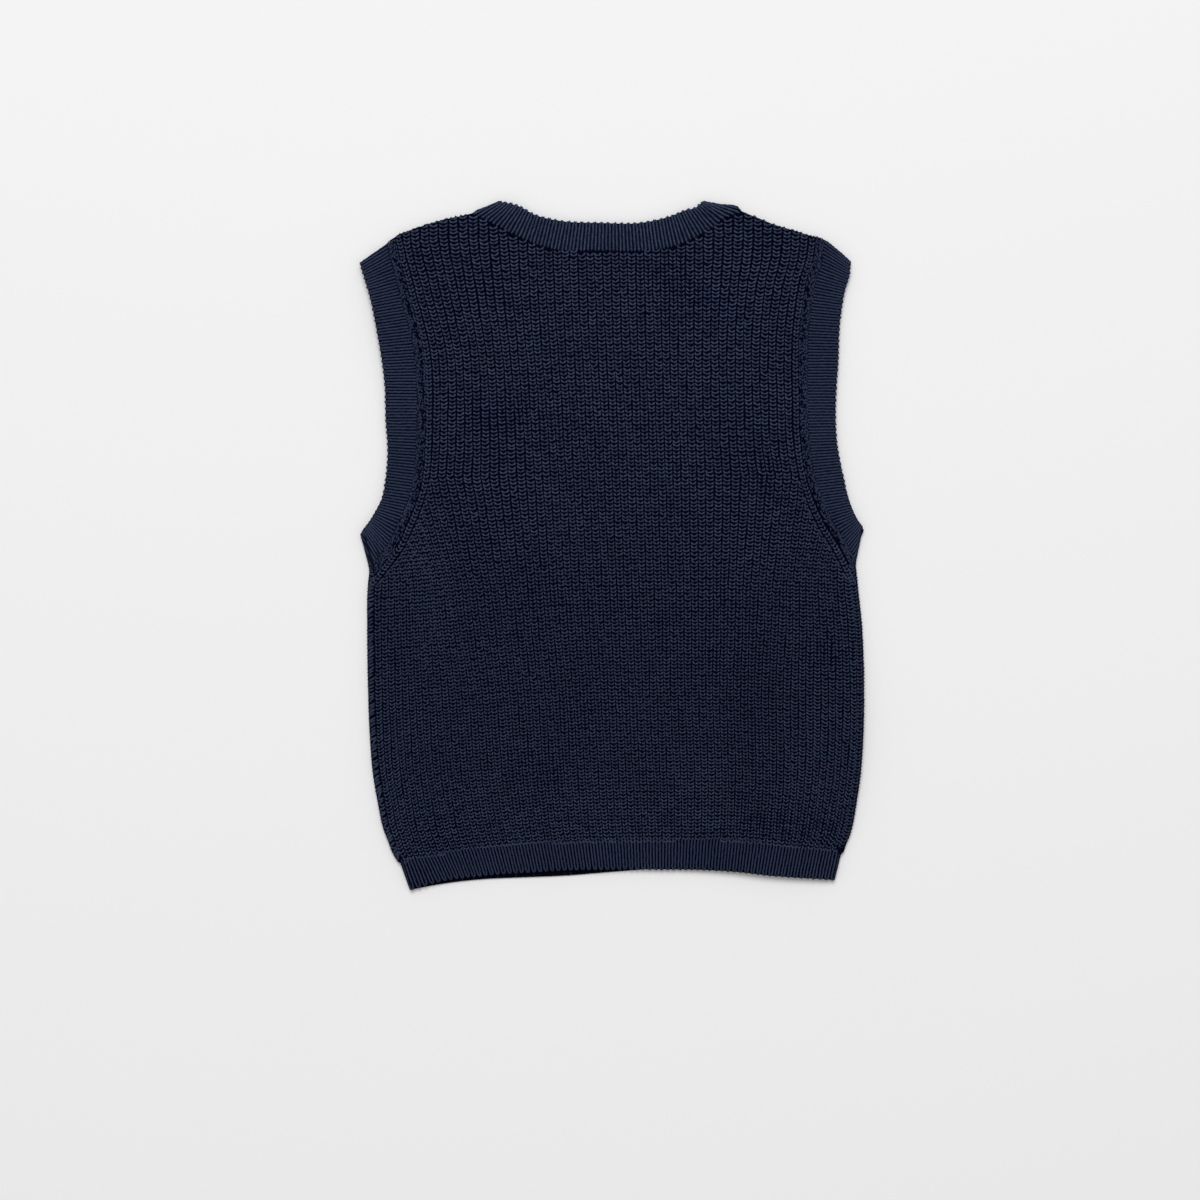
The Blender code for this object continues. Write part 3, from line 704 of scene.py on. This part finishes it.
# This far from the middle the soft folds have run out, over this width.
HALF_WIDTH = 202.0
SIDE_FADE = 30.0
RIB_ROWS = np.array((
    # height, pitch, middle
    (-264.0, 4.94, 20.2),
    (-260.0, 4.96, 20.0),
    (-232.0, 5.20, 16.8),
    (-196.0, 5.42, 14.8),
    (-116.0, 5.58, 11.0),
    (-52.0, 5.86, 8.0),
    (28.0, 6.06, 4.6),
    (108.0, 6.22, 1.0),
    (188.0, 6.50, -2.6),
    (276.0, 6.66, -5.0),
    (284.0, 6.68, -5.2),
))
COURSE_ROWS = np.array((
    # level, pitch
    (-280.0, 2.74),
    (-212.0, 2.74),
    (-180.0, 2.70),
    (-148.0, 2.72),
    (-116.0, 2.78),
    (-84.0, 2.82),
    (-36.0, 2.94),
    (12.0, 2.96),
    (76.0, 3.04),
    (300.0, 3.06),
))
# How far apart heights and levels are taken between those rows. The outermost levels carry no stitches.
RIB_STEP = 1.0
LEVEL_STEP = 0.5
LEVEL_MARGIN = 20
# Outside a middle stretch the courses sag toward the sides, half as steeply at the shoulders as at the hem.
SAG_LEFT = -8.8
SAG_RIGHT = 87.0
SAG_SLOPE = 0.106
SAG_SOFT = 40.0
SAG_SHARE = 0.75
SAG_CHANGE = 0.25
SAG_HEIGHT = 800.0
# How the knit wanders: how far a wale sways, the height of each radian of that, and how many radians it is
# out of step with the wale before. Courses sway a little too.
WALE_SWAYS = ((0.22, 17.0, 1.9), (0.15, 7.3, 4.1))
COURSE_SWAY = 0.25
SWAY_ACROSS = 11.0
SWAY_UP = 31.0
EDGE_WALES = 2
EDGE_WALE = 5.2
EDGE_COURSE = 3.0
# The body's wales run out against the edge wales. Between these two distances from the seam they are pressed
# together, and leave a gap that is wider round the curve at the armhole's low end, between two heights.
CROWD_FROM = 8.4
CROWD_TO = 17.0
CROWD_GAP = 0.4
CROWD_CURVE_GAP = 1.1
CROWD_CURVE = (28.0, 62.0)
CROWD_SOFT = 1.0
SIDE_WALE = 5.6
SIDE_COURSE = 2.8
BODY_WALL = 3.4
YARN_DEPTH = 1.05
# Round a fold the cloth turns at this radius by up to this angle. However deep in it yarn lies, its radius is
# the third value at least. The ribs stand out and back there.
FOLD_RADIUS = 3.3
FOLD_TURN = 2.6
FOLD_TIGHT = 0.4
FOLD_RIPPLE = 0.5
RIPPLE_PITCH = 4.6
EDGE_STEP = 1.5
# Distances from an edge beyond this don't matter.
SEARCH = 20.0
# How near stitches come to a seam at the hem, right armhole, neck and left armhole, and how far past a fold.
SEAM_CLEARS = (0.2, 0.2, 1.2, 0.2)
WRAP = 4.6
LEFT_WALES, RIGHT_WALES = 40, 37
# How much more than a wale the body's stitches keep from a side fold, and in the corners under this height.
SIDE_CLEAR = 1.2
CORNER_CLEAR = -0.8
CORNER_TOP = -232.0
# The right side's wale leaves out so many points of the fold, and runs straight into the corner.
CORNER_POINTS = 4

BODY_STITCH = np.array((
    # across, along, height, radius: shares of a wale and of a course, then millimetres
    (-0.41, 0.72, -0.95, 0.0),
    (-0.365, 0.40, -0.22, 0.64),
    (-0.28, 0.06, 0.30, 0.90),
    (0.0, -0.13, -0.32, 0.58),
    (0.28, 0.06, 0.30, 0.90),
    (0.365, 0.40, -0.22, 0.64),
    (0.41, 0.72, -0.95, 0.0),
))
BODY_LOOSE = 1.0
# Heights, then how large the yarn is and how light its colour is there. Lower down the knit is closer, and
# its colour is painted darker there as shade and lighter toward the top as light.
BODY_SIZES = ((-260.0, 100.0), (0.78, 0.94))
BODY_SHADES = ((-210.0, -180.0, -50.0, 0.0, 60.0, 170.0), (0.74, 0.56, 0.50, 0.69, 0.77, 0.88))
# In the low outer parts stitches slope down toward the sides, fully past the second distance and height.
TILT = 0.25
TILT_FROM, TILT_TO = 110.0, 180.0
TILT_TOP, TILT_LOW = -90.0, -150.0
# The edge wales at the armholes are a little narrower.
EDGE_STITCH = BODY_STITCH * np.array((0.9, 1.0, 1.0, 1.0))
EDGE_SIZE = 1.0
EDGE_SHADE = 0.76
SIDE_STITCH = np.array((
    # across, along, height, radius: as above, but across runs inward from the fold
    (-0.95, -0.75, -0.90, 0.0),
    (-0.60, -0.50, 0.30, 0.85),
    (-0.25, -0.20, 0.35, 1.00),
    (0.05, 0.10, 0.20, 0.95),
    (0.30, 0.40, -0.10, 0.80),
    (0.42, 0.70, -1.00, 0.0),
))
SIDE_LOOSE = 2.4
LEFT_SIDE_SIZE, RIGHT_SIDE_SIZE = 0.85, 0.9
LEFT_SIDE_SHADE, RIGHT_SIDE_SHADE = 0.4, 0.3
# Wale numbers of the right side's wale and of the turned stitches at both sides. Those stand higher than the
# body's own, and make the outline's small bumps.
RIGHT_SIDE_INSET = 0.12
RIM_STITCH = BODY_STITCH + np.array((0.0, 0.0, 0.55, 0.0))
RIM_INSET = -0.8
RIM_SIZE = 0.85
RIM_SHADE = 0.3
# Courses that are tried before an edge's low end and past its top.
COURSES_BEFORE, COURSES_AFTER = 4, 3

rib_heights = np.arange(RIB_ROWS[0, 0], RIB_ROWS[-1, 0], RIB_STEP)
rib_pitches, rib_middles = smooth(RIB_ROWS[:, 0], RIB_ROWS[:, 1:3], rib_heights).T
course_levels = np.arange(COURSE_ROWS[0, 0], COURSE_ROWS[-1, 0], LEVEL_STEP)
course_numbers = np.cumsum(LEVEL_STEP / np.interp(course_levels, *COURSE_ROWS.T))


def fold_lift(x, y):
    """Height that the soft folds put between the layers."""
    height = np.zeros_like(x)
    for at_x, at_y, half_length, half_width, lean, rise in FOLDS:
        turn = math.radians(lean)
        right, up = x - at_x, y - at_y
        along = (right * math.sin(turn) + up * math.cos(turn)) / half_length
        across = (right * math.cos(turn) - up * math.sin(turn)) / half_width
        height += rise * bump(np.hypot(along, across))
    return height * np.clip((HALF_WIDTH - np.abs(x)) / SIDE_FADE, 0.0, 1.0)


def back_inside(x, y):
    return floor_lift(x, y) + FRONT_WALL + LAYER_GAP + fold_lift(x, y)


def wale_x(number, y):
    return np.interp(y, rib_heights, rib_middles) + number * np.interp(y, rib_heights, rib_pitches)


# Where the wales run beside an edge: beside the straight of each armhole, within its edge wales, and beside
# each side fold, within one. Each rule moves the wales between two numbers, and fades out past its heights.
LOW, HIGH = -300.0, 300.0
conform_heights = np.arange(-275.0, 275.0, 5.0)
conform_rules = []
for line, inset, number, first, low, high, fade in (
    (left_seam[::-1], EDGE_WALES * EDGE_WALE, -22.5, -8.0, 56.0, HIGH, 90.0),
    (right_seam[::-1], -EDGE_WALES * EDGE_WALE, 22.5, 8.0, 56.0, HIGH, 90.0),
    (folds[3][::-1], SIDE_WALE, -36.5, -20.0, LOW, -16.0, 50.0),
    (folds[0], -SIDE_WALE, 32.5, 20.0, LOW, -12.0, 50.0),
):
    at = np.clip(conform_heights, low, high)
    bound = np.interp(at, line[:, 1], line[:, 0]) + inset
    shift = (bound - wale_x(number, at)) / np.interp(at, rib_heights, rib_pitches)
    past = np.maximum(low - conform_heights, conform_heights - high)
    conform_rules.append((number, first, shift * np.clip(1.0 - past / fade, 0.0, 1.0)))


def conformed(number, y):
    """Wale numbers moved so that the wales run beside the edges."""
    moved = number.copy()
    for last, first, shift in conform_rules:
        share = np.clip((number - first) / (last - first), 0.0, 1.0)
        moved += share * share * (3.0 - 2.0 * share) * np.interp(y, conform_heights, shift)
    return moved


def wrapped(plan, depth, wall, fold_lines, ripple=0.0):
    """Points at a depth under the upper layer's face. Where the cloth turns at a fold, they go round it.

    ripple is how far the ribs stand out and back along the fold.
    """
    flat, deep = plan.reshape(-1, 2).copy(), np.broadcast_to(depth, plan.shape[:-1]).ravel()
    deep = deep + creased(*flat.T)
    top = back_inside(*flat.T) + wall
    height = top - deep
    for line in fold_lines:
        signed, foot, inward = nearest_on(line, flat, FOLD_REACH)
        at = np.flatnonzero(signed < FOLD_RADIUS)
        wave = np.sin(2.0 * math.pi * foot[at].sum(1) / RIPPLE_PITCH)
        radius = np.maximum(FOLD_RADIUS - deep[at] + ripple * wave, FOLD_TIGHT)
        angle = np.minimum((FOLD_RADIUS - signed[at]) / radius, FOLD_TURN)
        flat[at] = foot[at] + inward[at] * (FOLD_RADIUS - radius * np.sin(angle))[:, None]
        low = floor_lift(*flat[at].T)
        half = (back_inside(*flat[at].T) + wall - low) / 2.0
        height[at] = low + half + np.maximum(half - deep[at], FOLD_TIGHT) * np.cos(angle)
    return np.column_stack((flat, height)).reshape(plan.shape[:-1] + (3,))


def body_plan(wale, course):
    """Where the body's wales and courses run, in plan."""
    level = np.interp(course, course_numbers, course_levels)
    x = wale_x(wale, level)
    left, right = np.maximum(SAG_LEFT - x, 0.0), np.maximum(x - SAG_RIGHT, 0.0)
    sag = left**2 / (left + SAG_SOFT) + right**2 / (right + SAG_SOFT)
    y = level - SAG_SLOPE * sag * (SAG_SHARE - np.clip(level / SAG_HEIGHT, -SAG_CHANGE, SAG_CHANGE))
    x = wale_x(conformed(wale, y), y)
    for sway, height, step in WALE_SWAYS:
        x = x + sway * np.sin(y / height + step * wale)
    y = y + COURSE_SWAY * np.sin(x / SWAY_ACROSS + y / SWAY_UP)
    return np.stack((x, y), axis=-1)


def crowded(plan):
    """Plan places moved off the edge wales of an armhole, against which the body's own wales run out."""
    flat = plan.reshape(-1, 2).copy()
    for line in (seams[1], seams[3]):
        signed, foot, inward = nearest_on(line, flat, CROWD_TO + 1.0)
        at = np.flatnonzero((signed > 0.0) & (signed < CROWD_TO))
        signed, inward = signed[at], unit(flat[at] - foot[at])
        gap = np.interp(flat[at, 1], CROWD_CURVE, (CROWD_CURVE_GAP, CROWD_GAP))
        edge = EDGE_WALES * EDGE_WALE + gap
        past = CROWD_SOFT * np.log1p(np.exp((signed - edge) / CROWD_SOFT))
        flat[at] += inward * (edge + past - signed)[:, None]
    return flat.reshape(plan.shape)


def body_place(wale, course):
    return wrapped(crowded(body_plan(wale, course)), YARN_DEPTH, BODY_WALL, folds, FOLD_RIPPLE)


def edge_plan(line, inward, pitch, step):
    """The plan of the wales beside an edge, and how many courses it has.

    Wales are numbered from the edge inward, and courses counted up from its low end.
    """
    line = smooth_line(line, EDGE_STEP)
    along = lengths(line)
    tangent = unit(np.gradient(line, axis=0))
    normal = np.column_stack((tangent[:, 1], -tangent[:, 0])) * inward

    def plan(wale, course):
        at = course * step
        way = np.stack([np.interp(at, along, normal[:, k]) for k in (0, 1)], axis=-1)
        foot = np.stack([np.interp(at, along, line[:, k]) for k in (0, 1)], axis=-1)
        beyond = at - np.clip(at, 0.0, along[-1])
        ends = np.where((at > 0.0)[..., None], tangent[-1], tangent[0])
        return foot + beyond[..., None] * ends + way * ((wale + 0.5) * pitch)[..., None]

    return plan, along[-1] / step


def outline_test(plan):
    """Whether a place is on the body, its fold wraps among it, and how far it is from armholes and sides."""
    best, keep = np.full(len(plan), np.inf), np.ones(len(plan), dtype=bool)
    closed = np.vstack([line[:-1] for pair in zip(seams, folds) for line in pair])
    x, y = plan.T
    within = np.zeros(len(plan), dtype=bool)
    for (x0, y0), (x1, y1) in zip(closed, np.roll(closed, -1, axis=0)):
        if y0 != y1:
            within ^= ((y0 > y) != (y1 > y)) & (x < x0 + (y - y0) * (x1 - x0) / (y1 - y0))
    for line, clear in zip(seams, SEAM_CLEARS):
        gap = np.abs(nearest_on(line, plan, SEARCH)[0])
        nearer = gap < best
        best = np.where(nearer, gap, best)
        keep = np.where(nearer, within & (gap > clear), keep)
    for line in folds:
        signed = nearest_on(line, plan, SEARCH)[0]
        nearer = np.abs(signed) < best
        best = np.where(nearer, np.abs(signed), best)
        keep = np.where(nearer, signed > -WRAP, keep)
    keep &= within | (best < WRAP)
    arms = [np.abs(nearest_on(line, plan, SEARCH)[0]) for line in (seams[1], seams[3])]
    sides = [nearest_on(line, plan, SEARCH)[0] for line in (folds[0], folds[3])]
    return keep, np.minimum(*arms), np.minimum(*sides)


chance = np.random.default_rng(23)
first_course, end_course = int(course_numbers[LEVEL_MARGIN]), int(course_numbers[-LEVEL_MARGIN])
wale, course = lattice(range(-LEFT_WALES, RIGHT_WALES + 1), range(first_course, end_course))
plan = body_plan(wale, course)
keep, by_arm, by_side = outline_test(plan)
clear = np.where(plan[:, 1] < CORNER_TOP, CORNER_CLEAR, SIDE_CLEAR)
keep &= (by_arm > CROWD_FROM) & (by_side > SIDE_WALE + clear)
wale, course, plan = wale[keep], course[keep], plan[keep]
aside, height = plan.T
tilt = TILT * -np.sign(aside) * np.clip((np.abs(aside) - TILT_FROM) / (TILT_TO - TILT_FROM), 0.0, 1.0)
tilt *= np.clip((TILT_TOP - height) / (TILT_TOP - TILT_LOW), 0.0, 1.0)

edge_pitches, side_pitches = (EDGE_WALE, EDGE_COURSE), (SIDE_WALE, SIDE_COURSE)
left_side, right_side = folds[3][::-1], np.vstack((BODY_CORNER_RIGHT, folds[0][CORNER_POINTS:]))
edge_groups = []
for line, inward, number, pitches, path, size, shade in (
    (left_seam[::-1], 1.0, EDGE_WALES - 1, edge_pitches, EDGE_STITCH, EDGE_SIZE, EDGE_SHADE),
    (right_seam[::-1], -1.0, EDGE_WALES - 1, edge_pitches, EDGE_STITCH, EDGE_SIZE, EDGE_SHADE),
    (left_side, 1.0, 0.0, side_pitches, SIDE_STITCH, LEFT_SIDE_SIZE, LEFT_SIDE_SHADE),
    (right_side, -1.0, RIGHT_SIDE_INSET, side_pitches, BODY_STITCH, RIGHT_SIDE_SIZE, RIGHT_SIDE_SHADE),
    (left_side, 1.0, RIM_INSET, side_pitches, RIM_STITCH, RIM_SIZE, RIM_SHADE),
    (right_side, -1.0, RIM_INSET, side_pitches, RIM_STITCH, RIM_SIZE, RIM_SHADE),
):
    plan_of, count = edge_plan(line, inward, *pitches)

    def edge_place(wale, course, plan_of=plan_of):
        return wrapped(plan_of(wale, course), YARN_DEPTH, BODY_WALL, folds)

    edge_wale, edge_course = lattice([number], range(-COURSES_BEFORE, int(count) + COURSES_AFTER))
    kept, by_arm, by_side = outline_test(plan_of(edge_wale, edge_course))
    if pitches is side_pitches:
        kept &= (by_arm > EDGE_WALE / 2.0) & (edge_course > 0.0)
    loose = SIDE_LOOSE if path is SIDE_STITCH else BODY_LOOSE
    edge_groups.append(
        stitches(edge_place, edge_wale[kept], edge_course[kept], path, loose, chance, size, shade)
    )

# The body's yarn is in three pieces of about the same number of stitches, from the hem up.
# All in one the body's yarn would be too heavy a piece, so it is three, from the hem up.
names = "back_yarn_lower", "back_yarn_middle", "back_yarn_upper"
order = np.array_split(np.argsort(height, kind="stable"), len(names))
for name, part in zip(names, order):
    size = np.interp(height[part], *BODY_SIZES)
    shades = np.interp(height[part], *BODY_SHADES)
    places = wale[part], course[part]
    groups = [stitches(body_place, *places, BODY_STITCH, BODY_LOOSE, chance, size, shades, tilt[part])]
    if name == "back_yarn_upper":
        groups += edge_groups
    yarn(name, groups)
back_ground = ground("back_panel_ground", "back_panel")

# Rib strips on top: the back's hem rib, knitted in one with the panel, and the neckband and armhole bands,
# each linked round its opening with its ribs across the strip. The free edge is rounded, one loop to a rib.

# Behind the neckband and armhole bands the wrong side's painted shade is less dark: more light gets in
# between their ribs.
RIB_DARK = "#070a16"
RIB_LIGHT = "#0f1526"
shaded_rib_cotton = wrong_side("rib_wrong_side_painted_shade", RIB_DARK, RIB_LIGHT)

# How far the ground is pulled in at the free edge. Below 0 it is pulled out.
NECK_FREE = -0.45
ARMHOLE_FREE = -0.65
BAND_WALL = 3.0
RIB_DEPTH = 1.0
# In courses: how far the first one lies in from the free edge, how far apart linking ones lie, and by how
# much those end short.
COURSE_START = 0.55
LINK_STEP = 0.55
LINK_SHORT = 0.5
# Past its seam a strip rises onto the panel by this much, within this share of its width. At its free edge it
# turns down by up to this angle.
PAST_RISE = 0.5
PAST_WIDTH = 0.5
EDGE_TURN = 2.3
LINK_LOOSE = 3.0
# Linking stitches keep this far inside a folded end.
LINK_WRAP = -0.8
# Rib numbers, then how far the free edge bends out there.
PLAIN_REACH = ((0.0,), (0.85,))
NECK_REACH = ((0.0,), (1.45,))
ARMHOLE_REACH = ((39.0, 43.0), (1.6, 0.5))
LINK_STITCH = np.array((
    # across, along, height, radius: shares of a rib and of a course, then millimetres
    (-0.30, 0.35, -0.80, 0.0),
    (-0.18, 0.10, -0.25, 0.60),
    (0.0, -0.10, 0.0, 0.74),
    (0.18, 0.10, -0.25, 0.60),
    (0.30, 0.35, -0.80, 0.0),
))
# For a strip's two folded ends: how far it swells past a straight line, and at what share of the way from
# seam to free edge most. The line runs on past both, and a point further in tells its inner side.
PLAIN_TURNS = ((0.0, 0.5), (0.0, 0.5))
NECK_TURNS = ((1.1, 0.18), (3.5, 0.19))
LEFT_TURNS = ((-0.3, 0.5), (-0.8, 0.5))
RIGHT_TURNS = ((1.3, 0.45), (-0.3, 0.5))
TURN_PAST = 0.15
TURN_POINTS = 27
INNER = 6
# Where the last ribs of an armhole band run to, past the fold at the underarm, from the shoulder down.
TURNED_SHARE = 0.66
LEFT_TURNED = ((-198.4, 13.6), (-205.5, 5.5))
RIGHT_TURNED = ((203.3, 13.6), (208.5, 7.0))


def turn_line(seam, edge, inner, swell, peak):
    """The folded end of a band in plan: from its seam to its free edge, swelling past a straight line."""
    share = np.linspace(-TURN_PAST, 1.0 + TURN_PAST, TURN_POINTS)[:, None]
    line = seam + (edge - seam) * share
    across = np.array((seam[1] - edge[1], edge[0] - seam[0])) / np.linalg.norm(edge - seam)
    if across @ (inner - seam) > 0.0:
        across = -across
    grown = np.clip(share, 0.0, 1.0) / peak
    line = line + swell * grown * np.exp(1.0 - grown) * across
    return line if np.cross(line[-1] - line[0], inner - line[0]) > 0.0 else line[::-1]


def strip_yarn(name, seam, edge, lines, ribs, courses, past, linked, reach, turns, size, shade, chance):
    """The stitches of a rib strip, its folded ends and free edge among them.

    lines are where the ribs start and end: the seam and the free edge, but past a folded end where they cross
    that fold. past is the number of courses that lie over the seam, on the panel that the strip is linked to,
    and linked the number of courses in all that are close linking stitches and not ribs. reach holds rib
    numbers, and how far the free edge bends out there from the middle of its rounding.
    """
    fold_lines = [
        turn_line(seam[0], edge[0], (seam[INNER] + edge[INNER]) / 2.0, *turns[0]),
        turn_line(seam[-1], edge[-1], (seam[-1 - INNER] + edge[-1 - INNER]) / 2.0, *turns[1]),
    ]

    def across(rib, course):
        start, end = on_strip(*lines, rib)
        return start, end, 1.0 - (course + COURSE_START) / courses

    def turned_in(rib, course, wrap):
        start, end, share = across(rib, course)
        plan = start + (end - start) * share[..., None]
        return np.minimum(*(nearest_on(line, plan, SEARCH)[0] for line in fold_lines)) > -wrap

    def place(rib, course):
        start, end, share = across(rib, course)
        way = end - start
        length = np.linalg.norm(way, axis=-1)
        left = (1.0 - share) * length
        half = BAND_WALL / 2.0
        radius = half - RIB_DEPTH
        angle = np.clip((half - left) / radius, 0.0, EDGE_TURN)
        inset = np.where(left < half, half - np.interp(rib, *reach) * np.sin(angle), left)
        rise = PAST_RISE * np.clip(-share / PAST_WIDTH, 0.0, 1.0)
        depth = RIB_DEPTH + radius * (1.0 - np.cos(angle)) - rise
        plan = end - way / length[..., None] * inset[..., None]
        return wrapped(plan, depth, BAND_WALL, fold_lines)

    every_rib, every_half = np.arange(-1.0, ribs + 1.0), np.arange(-1.0, ribs + 0.5, 0.5)
    last = courses + past - linked
    groups = []
    for numbers, rows, path, loose in (
        (every_rib, range(1, last), RIB_LEG, RIB_LOOSE),
        (every_rib, range(1, last), mirrored(RIB_LEG), RIB_LOOSE),
        (every_rib, [0], EDGE_LOOP, RIB_LOOSE),
        (every_half, np.arange(last, last + linked - LINK_SHORT, LINK_STEP), LINK_STITCH, LINK_LOOSE),
    ):
        rib, course = lattice(numbers, rows)
        kept = turned_in(rib, course, WRAP if loose == RIB_LOOSE else LINK_WRAP)
        if kept.any():
            groups.append(stitches(place, rib[kept], course[kept], path, loose, chance, size, shade))
    return yarn(name, groups)


back_hem_yarn = strip_yarn(
    "back_hem_yarn", hem_seam, hem_edge, (hem_seam, hem_edge), WELT_RIBS,
    courses=9, past=1, linked=0, reach=PLAIN_REACH, turns=PLAIN_TURNS,
    size=0.78, shade=0.18, chance=np.random.default_rng(31),
)
back_hem_ground = ground("back_hem_ground", "hem_rib_back", hem_edge)

neck_yarn = strip_yarn(
    "neckband_yarn", neck_seam, neck_edge, (neck_seam, neck_edge), NECK_RIBS,
    courses=10, past=0, linked=0, reach=NECK_REACH, turns=NECK_TURNS,
    size=0.8, shade=0.78, chance=np.random.default_rng(37),
)
neck_ground = ground("neckband_ground", "neckband", neck_edge, shaded_rib_cotton, NECK_FREE)

for side, guides, turned_edge, seam, edge, turns, seed in (
    ("left", ARMHOLE_LEFT, LEFT_TURNED, left_seam, left_edge, LEFT_TURNS, 41),
    ("right", ARMHOLE_RIGHT, RIGHT_TURNED, right_seam, right_edge, RIGHT_TURNS, 43),
):
    ends = guides.copy()
    ends[-len(turned_edge) :, 0:2] = turned_edge
    nearer = np.full((len(ends), 1), 0.5)
    nearer[-len(turned_edge) :] = TURNED_SHARE
    middle = (guides[:, 0:2] + guides[:, 2:4]) / 2.0
    wanted = lengths(ends[:, 0:2] * (1.0 - nearer) + ends[:, 2:4] * nearer)
    ribs = round(ARMHOLE_RIBS * wanted[-1] / lengths(middle)[-1])
    lines = strip_lines(ends[:, 2:4], ends[:, 0:2], wanted, ribs)
    band_yarn = strip_yarn(
        f"armhole_{side}_yarn", seam, edge, lines, ribs,
        courses=11, past=2, linked=3, reach=ARMHOLE_REACH, turns=turns,
        size=0.83, shade=0.32, chance=np.random.default_rng(seed),
    )
    name, node = f"armhole_{side}_ground", f"armhole_band_{side}"
    band_ground = ground(name, node, edge, shaded_rib_cotton, ARMHOLE_FREE)

# Floor, light and camera. A smooth board, painted pale and matt, with a fine grain that the light just
# catches. It lies under a large soft light from overhead, a little toward the neck.
FLOOR_SIZE = 14.0
BOARD = "#e9e9e9"
GRAIN_SIZE = 3.0
GRAIN_RELIEF = 0.1
board, tree, shader = material("painted_board_pale")
place = add(tree, "ShaderNodeTexCoord").outputs["Object"]
grain = add(
    tree,
    "ShaderNodeTexNoise",
    {"Vector": place, "Scale": 1.0 / (GRAIN_SIZE * METRES), "Detail": 2.0},
)
relief = add(
    tree,
    "ShaderNodeBump",
    {"Height": grain.outputs["Fac"], "Strength": 0.02, "Distance": GRAIN_RELIEF * METRES},
)
tree.links.new(relief.outputs["Normal"], shader.inputs["Normal"])
shader.inputs["Base Color"].default_value = linear(BOARD)
shader.inputs["Roughness"].default_value = 0.85
mesh = bpy.data.meshes.new("floor")
half = FLOOR_SIZE / 2.0
corners = [(-half, -half, 0.0), (half, -half, 0.0), (half, half, 0.0), (-half, half, 0.0)]
mesh.from_pydata(corners, [], [(0, 1, 2, 3)])
mesh.materials.append(board)
floor = bpy.data.objects.new("floor", mesh)
bpy.context.scene.collection.objects.link(floor)

# The camera's place is in millimetres, its height and the width that it sees in metres.
CAMERA_PLACE = (-9.2, -43.6)
CAMERA_HEIGHT = 2.4
FRAME_WIDTH = 0.96
SENSOR = 36.0
lens = bpy.data.cameras.new("camera")
lens.sensor_width = SENSOR
lens.lens = SENSOR * CAMERA_HEIGHT / FRAME_WIDTH
camera = bpy.data.objects.new("camera", lens)
camera.location = (CAMERA_PLACE[0] * METRES, CAMERA_PLACE[1] * METRES, CAMERA_HEIGHT)
bpy.context.scene.collection.objects.link(camera)
bpy.context.scene.camera = camera

LAMP_PLACE = (-0.2, 2.6, 5.0)
LAMP_SIZE = 3.0
LAMP_POWER = 208.0
SKY_STRENGTH = 0.52
lamp = bpy.data.lights.new("overhead", "AREA")
lamp.shape = "SQUARE"
lamp.size = LAMP_SIZE
lamp.energy = LAMP_POWER
overhead = bpy.data.objects.new("overhead", lamp)
overhead.location = LAMP_PLACE
overhead.rotation_euler = overhead.location.to_track_quat("Z", "Y").to_euler()
bpy.context.scene.collection.objects.link(overhead)
world = bpy.data.worlds.new("studio")
bpy.context.scene.world = world
world.use_nodes = True
sky = world.node_tree.nodes["Background"]
sky.inputs["Color"].default_value = (1.0, 1.0, 1.0, 1.0)
sky.inputs["Strength"].default_value = SKY_STRENGTH
bpy.context.scene.view_settings.view_transform = "Standard"
